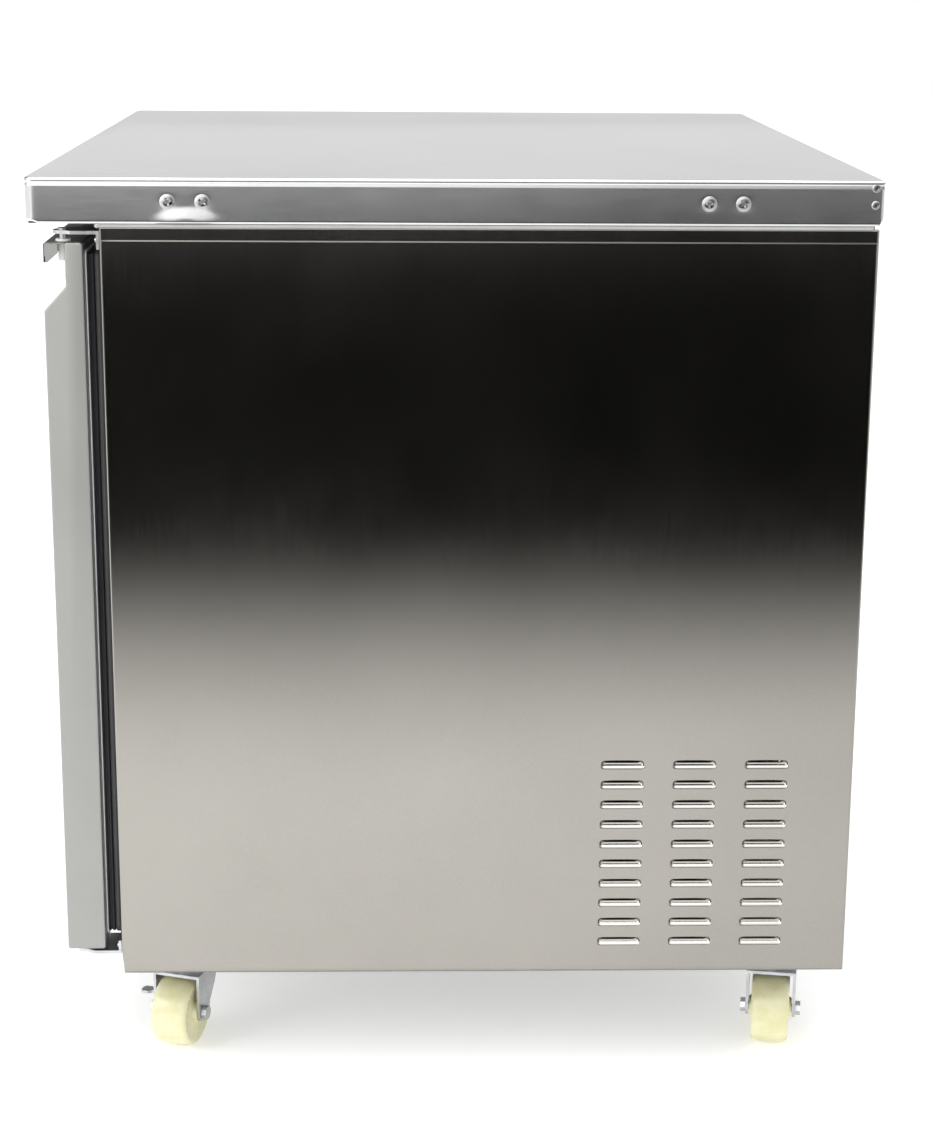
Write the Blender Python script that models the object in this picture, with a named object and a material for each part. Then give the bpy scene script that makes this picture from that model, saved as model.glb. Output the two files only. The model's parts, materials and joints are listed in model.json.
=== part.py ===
"""Two-door undercounter refrigerator for a food truck, with louvred sides and low casters.

Metres, +Z up. The origin is on the floor under the middle of the worktop, the doors face -Y and
the machine compartment is at the rear bottom. Every sub-part is one closed body in its own object.
"""
import math

import bmesh
import bpy
from mathutils import Matrix, Vector

# Overall size
WIDTH = 0.9144
DEPTH = 0.762
HEIGHT = 0.8636

# Sheet metal and clearances
SHEET = 0.0012
GAP = 0.0003
ROUND = 16                      # sides of a small round piece
WHEEL_SIDES = 24

FRONT = -DEPTH / 2


def back(distance):
    """The y of a point this far behind the worktop's front edge."""
    return FRONT + distance


def down(distance):
    """The z of a point this far below the worktop."""
    return HEIGHT - distance


# Worktop
LIP = 0.0405
TOP_CORNER = 0.008              # radius of the front vertical corners
TOP_REAR_CORNER = 0.002
TOP_EDGE = 0.0025               # radius of the fold around the top
CORE_X = WIDTH / 2 - 0.0037     # half width of the filling under the sheet
CORE_MARGIN = 0.0035            # between the filling and the lip
CORE_STEP = 0.004               # how far its lower part stays inside the cabinet
CORE_BOTTOM = down(0.0439)

# Side panels
PANEL_X = WIDTH / 2 - 0.003
PANEL_TOP = down(0.0442)
PANEL_BOTTOM = down(0.756)
FACE_Y = back(0.0652)           # the cabinet's front face
PANEL_REAR = back(0.7589)
FLANGE = 0.012
LOUVRE_START = back(0.5198)
LOUVRE_PITCH_Y = 0.0681
LOUVRE_LENGTH = 0.0425
LOUVRE_COLUMNS = 3
LOUVRE_TOP_ROW = 0.3172
LOUVRE_PITCH_Z = 0.0199
LOUVRE_ROWS = 10
SLIT_HEIGHT = 0.0032
SLIT_RISE = 0.0025              # the slit's centre above its louvre's centre

# Cabinet
FRAME_TOP = PANEL_TOP - 0.0004
PAN_TOP = 0.1252
PAN_BOTTOM = 0.1085
BODY_X = PANEL_X - SHEET - GAP
BODY_TOP = 0.8185
REAR_SHEET_Y = 0.3751
CAVITY_X = 0.405
CAVITY_FLOOR = 0.165
CAVITY_LEDGE = 0.420
CAVITY_CEILING = 0.775
CAVITY_LOWER_REAR = 0.045
CAVITY_REAR = 0.325
LINER = 0.001
MACHINE_FRONT = 0.095
MACHINE_TOP = 0.375
WINDOW_INNER_X = 0.032
WINDOW_OUTER_X = 0.398
WINDOW_BOTTOM = 0.172
WINDOW_TOP = 0.768
MULLION_X = 0.030
MULLION_REAR = back(0.105)
GRILLE_TOP = MACHINE_TOP - 0.010
GRILLE_SLOTS = 15
GRILLE_SLOT_START = -0.20
GRILLE_SLOT_PITCH = 0.036
GRILLE_SLOT_WIDTH = 0.012
GRILLE_SLOT_BOTTOM = 0.17
GRILLE_SLOT_TOP = 0.32
GLAND = (-0.32, 0.20)           # x and z of the cord gland
GLAND_BORE_R = 0.0045
GLAND_BODY_R = 0.0120
GLAND_HOLE_R = 0.0125
GLAND_RIM_R = 0.0170
GLAND_FACE_R = 0.0150
GLAND_INNER_Y = REAR_SHEET_Y - 0.006
GLAND_OUTER_Y = 0.3800
BREAKTHROUGH = 0.01             # how far cutters reach past what they cut

# Doors
DOOR_TOP = down(0.058)
DOOR_BOTTOM = down(0.7313)
DOOR_FRONT = back(0.0145)
DOOR_REAR = back(0.050)
DOOR_OUTER_X = 0.4537
DOOR_INNER_X = 0.0015
DOOR_SHEET = 0.0012
LIP_INNER_Y = back(0.018)
LIP_BOTTOM = down(0.0753)
GUSSET_Y = back(0.0284)         # rear end of the plates that close the lip's ends
GUSSET_Z = down(0.0673)
RECESS_Y = back(0.0343)
RECESS_KNEE = down(0.0968)
RECESS_FOOT = down(0.1185)
GASKET_OUTER_X = 0.4385
GASKET_INNER_X = 0.0140
GASKET_TOP = 0.7960
GASKET_BOTTOM = 0.1425
GASKET_WIDTH = 0.020
PLUG_REAR = FACE_Y - 0.003      # the liner's raised middle, inside the gasket

# Hinges
HINGE_X = 0.4385
HINGE_Y = back(0.0315)
PIN_R = 0.0030
BORE_R = 0.0031
BUSH_R = 0.0047
BUSH_FLANGE_R = 0.0068
BUSH_FLANGE = 0.0020
BUSH_LENGTH = 0.0170
BRACKET_TOP = 0.8160
BRACKET = 0.003
BRACKET_INNER_X = 0.4092
BRACKET_OUTER_X = 0.4520
BRACKET_NOSE_R = 0.0090
BRACKET_REACH = 0.022           # how far the plate's inner edge runs forward
FLANGE_THICK = 0.0026           # the bracket's flange on the cabinet
FLANGE_FIT = 0.0005             # how far the flange stays inside the plate's outline
RIVET_R = 0.0046                # the hinge pin's riveted end
RIVET_HEIGHT = 0.0016
OVERLAP = 0.0004                # how far joined shapes run into each other
LOWER_BRACKET_BOTTOM = 0.1266

# Casters
WHEEL_R = 0.0345
WHEEL_HALF = 0.0165
HUB_HALF = 0.0212
AXLE_R = 0.0040
AXLE_BORE_R = 0.0041
TRAIL = 0.022
LEG_OUTER = 0.0246
LEG = 0.0028
LEG_END_R = 0.0095
CROWN_TOP = 0.0755
CROWN = 0.0030
CROWN_REAR = -0.021
KINGPIN_HOLE_R = 0.0052
AXLE_HOLE_R = 0.0043
AXLE_HEAD = 0.0049
AXLE_HEAD_R = 0.0075
MOUNT_PLATE = 0.003
MOUNT_PLATE_HALF = 0.032
RACE_R = 0.021
KINGPIN_R = 0.005
KINGPIN_HEAD_R = 0.008
KINGPIN_HEAD = 0.003
RAIL_BOTTOM = 0.0888
RAIL_OUTER_X = 0.409
RAIL_WALL = 0.002
RAIL_FRONT = -0.305
RAIL_REAR = 0.368
BRAKE_PIVOT = (0.010, 0.0505)   # caster x and z
BRAKE_CLEAR = 0.0005
BRAKE_PLATE = 0.0022
BRAKE_TAB_X = 0.0125
BRAKE_TAB_R = 0.0062
BRAKE_TAB_LOW = 0.0025          # the tab's heights above the pivot
BRAKE_TAB_HIGH = 0.0055
SWIVEL_X = 0.358
FRONT_SWIVEL_Y = -0.2615
REAR_SWIVEL_Y = 0.3255
CASTERS = {                     # x and y of the swivel, its turn in degrees, and a brake or not
    "front_right": (SWIVEL_X, FRONT_SWIVEL_Y, -19.0, True),
    "rear_right": (SWIVEL_X, REAR_SWIVEL_Y, -10.0, False),
    "front_left": (-SWIVEL_X, FRONT_SWIVEL_Y, -4.0, True),
    "rear_left": (-SWIVEL_X, REAR_SWIVEL_Y, 3.0, False),
}

# Shelves
SHELF_Z = 0.470
SHELF_WIRE = 0.004
SHELF_FRONT = -0.262
SHELF_REAR = 0.300
SHELF_BARS = 12
SHELF_BAR = 0.005

# Evaporator and thermostat, high on the cold space's rear wall
COVER_X = 0.205
COVER_FRONT = 0.238
COVER_BOTTOM = 0.600
WALL_Y = CAVITY_REAR - 2 * GAP - LINER
COIL_LEFT = 0.062
COIL_FRONT = COVER_FRONT + 0.008
COIL_FINS = 7
COIL_FIN_START = 0.074
COIL_FIN_PITCH = 0.018
COIL_FIN_SPACE = 0.006
EVAPORATOR_FAN_Z = 0.682
EVAPORATOR_FAN_R = 0.048
EVAPORATOR_HUB_R = 0.012
EVAPORATOR_MOTOR_FRONT = COVER_FRONT + 0.030
FAN_SHAFT_R = 0.0030
FAN_BORE_R = 0.0031
FAN_CLEAR = 0.005               # between the blades' tips and the hole around them
BLADE_HALF = 0.0012             # half a blade's thickness
BLADE_SPREAD = 0.42             # a blade's half width at its tip, as a share of the radius
CONTROL_FRONT = 0.278
KNOB = (0.265, 0.725)           # x and z of the thermostat's knob

# Cooling unit, in the machine compartment
TRAY_TOP = 0.1285
TRAY_X = 0.400
TRAY_FRONT = 0.105
TRAY_REAR = 0.365
UNIT_Y = 0.235
UNIT_Z = 0.240
UNIT_HALF = 0.110               # half the condenser's width
UNIT_HEIGHT = 0.225
COMPRESSOR_X = 0.220
CONDENSER_LEFT = -0.365
CONDENSER_RIGHT = -0.318
CONDENSER_FIN_DEPTH = -0.350
CONDENSER_FINS = 14
CONDENSER_FIN_PITCH = 0.0148
CONDENSER_FIN_SPACE = 0.007
SHROUD_RIGHT = -0.276
CONDENSER_FAN_R = 0.082
CONDENSER_HUB_R = 0.018
CONDENSER_HUB = (-0.304, -0.280)

COLOURS = {
    "worktop_steel": ((0.62, 0.62, 0.63), 0.30, 1.0),
    "panel_steel": ((0.55, 0.54, 0.52), 0.32, 1.0),
    "frame_steel": ((0.58, 0.57, 0.56), 0.35, 1.0),
    "liner_aluminium": ((0.70, 0.70, 0.71), 0.45, 1.0),
    "foam": ((0.78, 0.70, 0.45), 0.90, 0.0),
    "door_lining": ((0.74, 0.74, 0.75), 0.45, 0.6),
    "gasket_vinyl": ((0.035, 0.035, 0.038), 0.60, 0.0),
    "zinc_plate": ((0.56, 0.57, 0.58), 0.30, 1.0),
    "white_nylon": ((0.80, 0.80, 0.77), 0.40, 0.0),
    "wheel_nylon": ((0.80, 0.79, 0.60), 0.38, 0.0),
    "black_enamel": ((0.02, 0.02, 0.022), 0.35, 0.2),
    "coil_aluminium": ((0.62, 0.63, 0.65), 0.40, 1.0),
    "black_plastic": ((0.03, 0.03, 0.03), 0.50, 0.0),
    "wire_coating": ((0.75, 0.76, 0.77), 0.35, 0.1),
}


# ---------------------------------------------------------------- modelling helpers

def clear_scene():
    for item in list(bpy.data.objects):
        bpy.data.objects.remove(item, do_unlink=True)


def material(slot):
    """The Principled BSDF of a material slot, made once."""
    found = bpy.data.materials.get(slot)
    if found:
        return found
    colour, roughness, metallic = COLOURS[slot]
    made = bpy.data.materials.new(slot)
    made.use_nodes = True
    shader = made.node_tree.nodes["Principled BSDF"]
    shader.inputs["Base Color"].default_value = (*colour, 1.0)
    shader.inputs["Roughness"].default_value = roughness
    shader.inputs["Metallic"].default_value = metallic
    return made


def solid(name, slot, shape):
    """An object from (vertices, faces), with its faces turned outwards."""
    mesh = bpy.data.meshes.new(name)
    edit = bmesh.new()
    corners = [edit.verts.new(v) for v in shape[0]]
    for face in shape[1]:
        edit.faces.new([corners[i] for i in face])
    bmesh.ops.recalc_face_normals(edit, faces=edit.faces)
    edit.to_mesh(mesh)
    edit.free()
    made = bpy.data.objects.new(name, mesh)
    bpy.context.scene.collection.objects.link(made)
    if slot:
        mesh.materials.append(material(slot))
    return made


def merged(shapes):
    """Several (vertices, faces) shapes as one."""
    verts, faces = [], []
    for more_verts, more_faces in shapes:
        start = len(verts)
        verts += more_verts
        faces += [tuple(i + start for i in face) for face in more_faces]
    return verts, faces


def placed(axis, a, b, along):
    """A point from its outline's two coordinates and its place along an axis."""
    if axis == "x":
        return (along, a, b)
    if axis == "y":
        return (a, along, b)
    return (a, b, along)


def prism(outline, axis, low, high):
    """An outline in the two other axes, extruded along one axis."""
    count = len(outline)
    verts = [placed(axis, a, b, low) for a, b in outline]
    verts += [placed(axis, a, b, high) for a, b in outline]
    faces = [tuple(range(count)), tuple(range(2 * count - 1, count - 1, -1))]
    for i in range(count):
        j = (i + 1) % count
        faces.append((i, j, j + count, i + count))
    return verts, faces


def block(low, high):
    """A box between two corners."""
    (x0, y0, z0), (x1, y1, z1) = low, high
    return prism([(x0, y0), (x1, y0), (x1, y1), (x0, y1)], "z", z0, z1)


def loft(rings, closed=False):
    """A skin through rings of equal length, capped at both ends or joined end to end."""
    count = len(rings[0])
    verts = [v for ring in rings for v in ring]
    faces = []
    last = len(rings) if closed else len(rings) - 1
    for k in range(last):
        a, b = k * count, ((k + 1) % len(rings)) * count
        for i in range(count):
            j = (i + 1) % count
            faces.append((a + i, a + j, b + j, b + i))
    if not closed:
        faces.append(tuple(range(count)))
        faces.append(tuple(range(len(verts) - 1, len(verts) - 1 - count, -1)))
    return verts, faces


def ring(axis, centre, radius, along, sides=ROUND, corners=0):
    """A circle, or a polygon with this many corners, around an axis through centre."""
    points = []
    for i in range(sides):
        angle = 2 * math.pi * i / sides
        reach = radius
        if corners:
            part = math.pi / corners
            reach = radius * math.cos(part) / math.cos((angle % (2 * part)) - part)
        a = centre[0] + reach * math.cos(angle)
        b = centre[1] + reach * math.sin(angle)
        points.append(placed(axis, a, b, along))
    return points


def turned(axis, centre, profile, sides=ROUND, closed=False):
    """A profile of (radius, place along the axis) turned about the axis."""
    return loft([ring(axis, centre, r, along, sides) for r, along in profile], closed)


def rounded_outline(x0, y0, x1, y1, front_radius, rear_radius, steps=4):
    """A rectangle in plan with rounded front and rear corners."""
    corners = [
        (x1 - front_radius, y0 + front_radius, front_radius, -90),
        (x1 - rear_radius, y1 - rear_radius, rear_radius, 0),
        (x0 + rear_radius, y1 - rear_radius, rear_radius, 90),
        (x0 + front_radius, y0 + front_radius, front_radius, 180),
    ]
    outline = []
    for cx, cy, radius, start in corners:
        for i in range(steps + 1):
            angle = math.radians(start + 90 * i / steps)
            outline.append((cx + radius * math.cos(angle), cy + radius * math.sin(angle)))
    return outline


def slot_outline(a0, a1, centre_b, height, steps=2):
    """A slot with rounded ends, from a0 to a1."""
    radius = height / 2
    outline = []
    for centre_a, start in ((a1 - radius, -90), (a0 + radius, 90)):
        for i in range(steps + 1):
            angle = math.radians(start + 180 * i / steps)
            outline.append((centre_a + radius * math.cos(angle),
                            centre_b + radius * math.sin(angle)))
    return outline


def tool(name, shape):
    """A hidden cutter or joining piece."""
    made = solid(name, None, shape)
    made.hide_render = True
    made.display_type = "WIRE"
    return made


def apply_tool(target, name, shape, operation):
    helper = tool(f"{target.name}_{name}", shape)
    step = target.modifiers.new(name, "BOOLEAN")
    step.operation = operation
    step.solver = "EXACT"
    step.object = helper
    return helper


def cut(target, name, shape):
    return apply_tool(target, name, shape, "DIFFERENCE")


def join(target, name, shape):
    return apply_tool(target, name, shape, "UNION")


def smooth(target, angle=35):
    """Round surfaces shaded smooth, with the sharp edges kept."""
    target.data.shade_smooth()
    target.data.set_sharp_from_angle(angle=math.radians(angle))
    return target


def pivot(name, location, yaw=0.0):
    """An empty on a joint's axis."""
    made = bpy.data.objects.new(name, None)
    made.location = location
    made.rotation_euler = (0, 0, math.radians(yaw))
    bpy.context.scene.collection.objects.link(made)
    return made


def hang(target, empty):
    """Parents a piece made in world coordinates to an unturned empty, and keeps its place."""
    target.data.transform(Matrix.Translation(-Vector(empty.location)))
    target.parent = empty
    return target


def span(side, low, high):
    """A range of x on the right (+1) or the left (-1) of the middle."""
    return (low, high) if side > 0 else (-high, -low)


# ---------------------------------------------------------------- worktop and cabinet

def make_worktop():
    def outline(inset, z):
        edge = rounded_outline(-WIDTH / 2 + inset, FRONT + inset, WIDTH / 2 - inset,
                               DEPTH / 2 - inset, TOP_CORNER - inset,
                               max(TOP_REAR_CORNER - inset, 0.0004))
        return [(x, y, z) for x, y in edge]
    rings = [outline(SHEET, HEIGHT - SHEET), outline(SHEET, HEIGHT - LIP),
             outline(0, HEIGHT - LIP)]
    for degrees in (0, 30, 60, 90):
        turn = math.radians(degrees)
        rings.append(outline(TOP_EDGE * (1 - math.cos(turn)),
                             HEIGHT - TOP_EDGE * (1 - math.sin(turn))))
    smooth(solid("worktop", "worktop_steel", loft(rings)))
    core = solid("worktop_core", "foam",
                 block((-CORE_X, FRONT + CORE_MARGIN, HEIGHT - LIP),
                       (CORE_X, DEPTH / 2 - CORE_MARGIN, HEIGHT - SHEET - GAP)))
    inner = PANEL_X - CORE_STEP
    join(core, "lower_part", block((-inner, FACE_Y + CORE_STEP, CORE_BOTTOM),
                                   (inner, PANEL_REAR - CORE_STEP, HEIGHT - LIP + CORE_MARGIN)))


def louvre_slits(side):
    """The open slits of one panel's louvres, as cutters through the sheet."""
    low, high = span(side, PANEL_X - 3 * SHEET, PANEL_X + SHEET)
    cutters = []
    for column in range(LOUVRE_COLUMNS):
        start = LOUVRE_START + column * LOUVRE_PITCH_Y
        for row in range(LOUVRE_ROWS):
            z = LOUVRE_TOP_ROW - row * LOUVRE_PITCH_Z + SLIT_RISE
            outline = slot_outline(start, start + LOUVRE_LENGTH, z, SLIT_HEIGHT)
            cutters.append(prism(outline, "x", low, high))
    return merged(cutters)


def make_side_panel(side, name):
    """A folded sheet with a narrow flange at the front and the rear, and louvres low down."""
    x_out, x_in, x_edge = PANEL_X, PANEL_X - SHEET, PANEL_X - FLANGE
    profile = [(x_out, FACE_Y), (x_out, PANEL_REAR), (x_edge, PANEL_REAR),
               (x_edge, PANEL_REAR - SHEET), (x_in, PANEL_REAR - SHEET),
               (x_in, FACE_Y + SHEET), (x_edge, FACE_Y + SHEET), (x_edge, FACE_Y)]
    profile = [(side * x, y) for x, y in profile]
    panel = solid(name, "panel_steel", prism(profile, "z", PANEL_BOTTOM, PANEL_TOP))
    cut(panel, "slits", louvre_slits(side))


def make_back():
    """The plain upper back panel and the slotted rear grille below it."""
    solid("back_panel", "panel_steel",
          block((-BODY_X, REAR_SHEET_Y, GRILLE_TOP + GAP),
                (BODY_X, REAR_SHEET_Y + SHEET, FRAME_TOP)))
    grille = solid("rear_grille", "panel_steel",
                   block((-BODY_X, REAR_SHEET_Y, PAN_TOP + GAP),
                         (BODY_X, REAR_SHEET_Y + SHEET, GRILLE_TOP)))
    low, high = REAR_SHEET_Y - BREAKTHROUGH, REAR_SHEET_Y + BREAKTHROUGH
    openings = [turned("y", GLAND, [(GLAND_HOLE_R, low), (GLAND_HOLE_R, high)])]
    for i in range(GRILLE_SLOTS):
        x = GRILLE_SLOT_START + i * GRILLE_SLOT_PITCH
        openings.append(block((x, low, GRILLE_SLOT_BOTTOM),
                              (x + GRILLE_SLOT_WIDTH, high, GRILLE_SLOT_TOP)))
    cut(grille, "openings", merged(openings))


def make_cord_gland():
    rim = REAR_SHEET_Y + SHEET + GAP
    profile = [(GLAND_BORE_R, GLAND_INNER_Y), (GLAND_BODY_R, GLAND_INNER_Y), (GLAND_BODY_R, rim),
               (GLAND_RIM_R, rim), (GLAND_FACE_R, GLAND_OUTER_Y), (GLAND_BORE_R, GLAND_OUTER_Y)]
    smooth(solid("cord_gland", "black_plastic", turned("y", GLAND, profile, closed=True)))


def make_base_pan():
    def outline(inset, z):
        edge = rounded_outline(-BODY_X + inset, FACE_Y + SHEET + GAP + inset, BODY_X - inset,
                               REAR_SHEET_Y + SHEET - inset, 0.002, 0.002, steps=1)
        return [(x, y, z) for x, y in edge]
    rings = [outline(SHEET, PAN_TOP - SHEET), outline(SHEET, PAN_BOTTOM), outline(0, PAN_BOTTOM),
             outline(0, PAN_TOP)]
    solid("base_pan", "frame_steel", loft(rings))


def cavity_outline(inset, front):
    """The cold space's stepped side view, drawn in by a margin."""
    return [(front, CAVITY_FLOOR + inset), (CAVITY_LOWER_REAR - inset, CAVITY_FLOOR + inset),
            (CAVITY_LOWER_REAR - inset, CAVITY_LEDGE + inset),
            (CAVITY_REAR - inset, CAVITY_LEDGE + inset),
            (CAVITY_REAR - inset, CAVITY_CEILING - inset), (front, CAVITY_CEILING - inset)]


def make_insulation():
    """The foamed walls: a block with the cold space and the machine compartment cut away."""
    front = FACE_Y + SHEET + GAP
    open_front = front - BREAKTHROUGH
    foam = solid("insulation_body", "foam",
                 block((-BODY_X + GAP, front, PAN_TOP + GAP),
                       (BODY_X - GAP, REAR_SHEET_Y - GAP, BODY_TOP)))
    cut(foam, "cold_space", prism(cavity_outline(0, open_front), "x", -CAVITY_X, CAVITY_X))
    cut(foam, "machine_space", block((-WIDTH, MACHINE_FRONT, 0), (WIDTH, DEPTH, MACHINE_TOP)))
    liner = solid("inner_liner", "liner_aluminium",
                  prism(cavity_outline(GAP, front), "x", -CAVITY_X + GAP, CAVITY_X - GAP))
    inset = GAP + LINER
    cut(liner, "hollow", prism(cavity_outline(inset, open_front), "x",
                               -CAVITY_X + inset, CAVITY_X - inset))


def make_face_frame():
    """The front frame with its two door windows and the post between them."""
    edge = PANEL_X - FLANGE - GAP
    frame = solid("face_frame", "frame_steel",
                  block((-edge, FACE_Y, PAN_TOP + GAP), (edge, FACE_Y + SHEET, FRAME_TOP)))
    windows = []
    for side in (1, -1):
        low, high = span(side, WINDOW_INNER_X, WINDOW_OUTER_X)
        windows.append(block((low, FACE_Y - BREAKTHROUGH, WINDOW_BOTTOM),
                             (high, FACE_Y + BREAKTHROUGH, WINDOW_TOP)))
    cut(frame, "windows", merged(windows))
    join(frame, "post", block((-MULLION_X, FACE_Y + SHEET / 2, WINDOW_BOTTOM),
                              (MULLION_X, MULLION_REAR, WINDOW_TOP)))


def make_caster_rail(side, name):
    """A U channel under the base pan that carries two casters."""
    wall, top = RAIL_WALL, PAN_TOP - SHEET - GAP
    low, high = span(side, SWIVEL_X - MOUNT_PLATE_HALF - wall, RAIL_OUTER_X)
    profile = [(low, RAIL_BOTTOM), (high, RAIL_BOTTOM), (high, top), (high - wall, top),
               (high - wall, RAIL_BOTTOM + wall), (low + wall, RAIL_BOTTOM + wall),
               (low + wall, top), (low, top)]
    solid(name, "frame_steel", prism(profile, "y", RAIL_FRONT, RAIL_REAR))


# ---------------------------------------------------------------- doors and hinges

def shell_profile(inset):
    """The door's side view: a flat front with a finger recess under its top edge."""
    return [(DOOR_FRONT + inset, DOOR_BOTTOM + inset), (DOOR_REAR, DOOR_BOTTOM + inset),
            (DOOR_REAR, DOOR_TOP - inset), (RECESS_Y + inset, DOOR_TOP - inset),
            (RECESS_Y + inset, RECESS_KNEE - inset / 2),
            (DOOR_FRONT + inset, RECESS_FOOT - inset / 2)]


def make_door_shell(side, name):
    """The outer door pan, open at the back, with its top plate and lip over the recess."""
    low, high = span(side, DOOR_INNER_X, DOOR_OUTER_X)
    outline = [(DOOR_FRONT, DOOR_BOTTOM), (DOOR_REAR, DOOR_BOTTOM), (DOOR_REAR, DOOR_TOP),
               (DOOR_FRONT + 0.0009, DOOR_TOP), (DOOR_FRONT + 0.0009, LIP_BOTTOM),
               (LIP_INNER_Y, LIP_BOTTOM), (LIP_INNER_Y, DOOR_TOP - DOOR_SHEET),
               (RECESS_Y, DOOR_TOP - DOOR_SHEET), (RECESS_Y, RECESS_KNEE),
               (DOOR_FRONT, RECESS_FOOT)]
    shell = solid(name, "panel_steel", prism(outline, "x", low, high))
    open_back = DOOR_REAR + BREAKTHROUGH
    pocket = [(open_back if y == DOOR_REAR else y, z) for y, z in shell_profile(DOOR_SHEET)]
    cut(shell, "pocket", prism(pocket, "x", low + DOOR_SHEET, high - DOOR_SHEET))
    half = DOOR_SHEET / 2
    gusset = [(LIP_INNER_Y - half, LIP_BOTTOM), (LIP_INNER_Y, LIP_BOTTOM), (GUSSET_Y, GUSSET_Z),
              (GUSSET_Y, DOOR_TOP - half), (LIP_INNER_Y - half, DOOR_TOP - half)]
    join(shell, "gussets", merged([prism(gusset, "x", low, low + DOOR_SHEET),
                                   prism(gusset, "x", high - DOOR_SHEET, high)]))
    centre = (side * HINGE_X, HINGE_Y)
    clear = BUSH_R + GAP
    cut(shell, "upper_bush_hole",
        turned("z", centre, [(clear, DOOR_TOP - BUSH_LENGTH - GAP),
                             (clear, DOOR_TOP + BREAKTHROUGH)]))
    cut(shell, "lower_bush_hole",
        turned("z", centre, [(clear, DOOR_BOTTOM - BREAKTHROUGH),
                             (clear, DOOR_BOTTOM + BREAKTHROUGH)]))
    return shell


def make_door_liner(side, name):
    """The foam filling with its inner skin, which stands out inside the gasket."""
    low, high = span(side, DOOR_INNER_X, DOOR_OUTER_X)
    inset = DOOR_SHEET + GAP
    filling = solid(name, "door_lining",
                    prism(shell_profile(inset), "x", low + inset, high - inset))
    plug_low, plug_high = span(side, GASKET_INNER_X + GASKET_WIDTH + 0.001,
                               GASKET_OUTER_X - GASKET_WIDTH - 0.001)
    margin = GASKET_WIDTH + 0.001
    join(filling, "plug", block((plug_low, DOOR_REAR - 0.005, GASKET_BOTTOM + margin),
                                (plug_high, PLUG_REAR, GASKET_TOP - margin)))
    centre = (side * HINGE_X, HINGE_Y)
    clear = BUSH_R + 2 * GAP + DOOR_SHEET
    depth = BUSH_LENGTH + DOOR_SHEET + 2 * GAP
    cut(filling, "upper_bush_space",
        turned("z", centre, [(clear, DOOR_TOP - depth), (clear, DOOR_TOP + BREAKTHROUGH)]))
    cut(filling, "lower_bush_space",
        turned("z", centre, [(clear, DOOR_BOTTOM - BREAKTHROUGH), (clear, DOOR_BOTTOM + depth)]))
    return filling


def make_gasket(side, name):
    """The magnetic seal: a frame with a bead that is narrower where it meets the cabinet."""
    low, high = span(side, GASKET_INNER_X, GASKET_OUTER_X)

    def loop(inset, y):
        x0, x1 = low + inset, high - inset
        z0, z1 = GASKET_BOTTOM + inset, GASKET_TOP - inset
        return [(x0, y, z0), (x1, y, z0), (x1, y, z1), (x0, y, z1)]
    front, rear = DOOR_REAR + GAP, FACE_Y - GAP
    rings = [loop(0, front), loop(0.0015, front + 0.005), loop(0, front + 0.008),
             loop(0, rear - 0.003), loop(0.0015, rear), loop(GASKET_WIDTH - 0.0015, rear),
             loop(GASKET_WIDTH, rear - 0.003), loop(GASKET_WIDTH, front)]
    return solid(name, "gasket_vinyl", loft(rings, closed=True))


def make_bush(side, name, upper):
    """A flanged nylon bush around a hinge pin."""
    face = DOOR_TOP if upper else DOOR_BOTTOM
    away = 1 if upper else -1
    profile = [(BORE_R, face - away * BUSH_LENGTH), (BUSH_R, face - away * BUSH_LENGTH),
               (BUSH_R, face + away * GAP), (BUSH_FLANGE_R, face + away * GAP),
               (BUSH_FLANGE_R, face + away * (GAP + BUSH_FLANGE)),
               (BORE_R, face + away * (GAP + BUSH_FLANGE))]
    shape = turned("z", (side * HINGE_X, HINGE_Y), profile, closed=True)
    return smooth(solid(name, "white_nylon", shape))


def make_bracket(side, name, upper):
    """A hinge bracket: a flange on the cabinet, a plate with a round nose and a riveted pin."""
    plate_low = BRACKET_TOP - BRACKET if upper else LOWER_BRACKET_BOTTOM
    plate_high = plate_low + BRACKET
    rear = FACE_Y - GAP
    outline = [(BRACKET_INNER_X, rear), (BRACKET_INNER_X, rear - BRACKET_REACH)]
    for i in range(9):
        angle = math.radians(225 + 135 * i / 8)
        outline.append((HINGE_X + BRACKET_NOSE_R * math.cos(angle),
                        HINGE_Y + BRACKET_NOSE_R * math.sin(angle)))
    outline += [(BRACKET_OUTER_X, HINGE_Y + 0.008), (BRACKET_OUTER_X, rear)]
    outline = [(side * x, y) for x, y in outline]
    bracket = solid(name, "zinc_plate", prism(outline, "z", plate_low, plate_high))
    if upper:
        flange_low, flange_high = GASKET_TOP + 0.0035, plate_high - FLANGE_FIT
    else:
        flange_low, flange_high = plate_low + FLANGE_FIT, GASKET_BOTTOM - 0.0030
    low, high = span(side, BRACKET_INNER_X + FLANGE_FIT, BRACKET_OUTER_X - FLANGE_FIT)
    flange_rear = rear - 0.0001
    join(bracket, "flange", block((low, flange_rear - FLANGE_THICK, flange_low),
                                  (high, flange_rear, flange_high)))
    if upper:
        shoulder, rivet_end = plate_high - OVERLAP, plate_high + RIVET_HEIGHT
        pin_end = DOOR_TOP - BUSH_LENGTH + 0.001
    else:
        shoulder, rivet_end = plate_low + OVERLAP, plate_low - RIVET_HEIGHT
        pin_end = DOOR_BOTTOM + BUSH_LENGTH - 0.001
    profile = [(RIVET_R, rivet_end), (RIVET_R, shoulder), (PIN_R, shoulder), (PIN_R, pin_end)]
    join(bracket, "pin", turned("z", (side * HINGE_X, HINGE_Y), profile))


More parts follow.
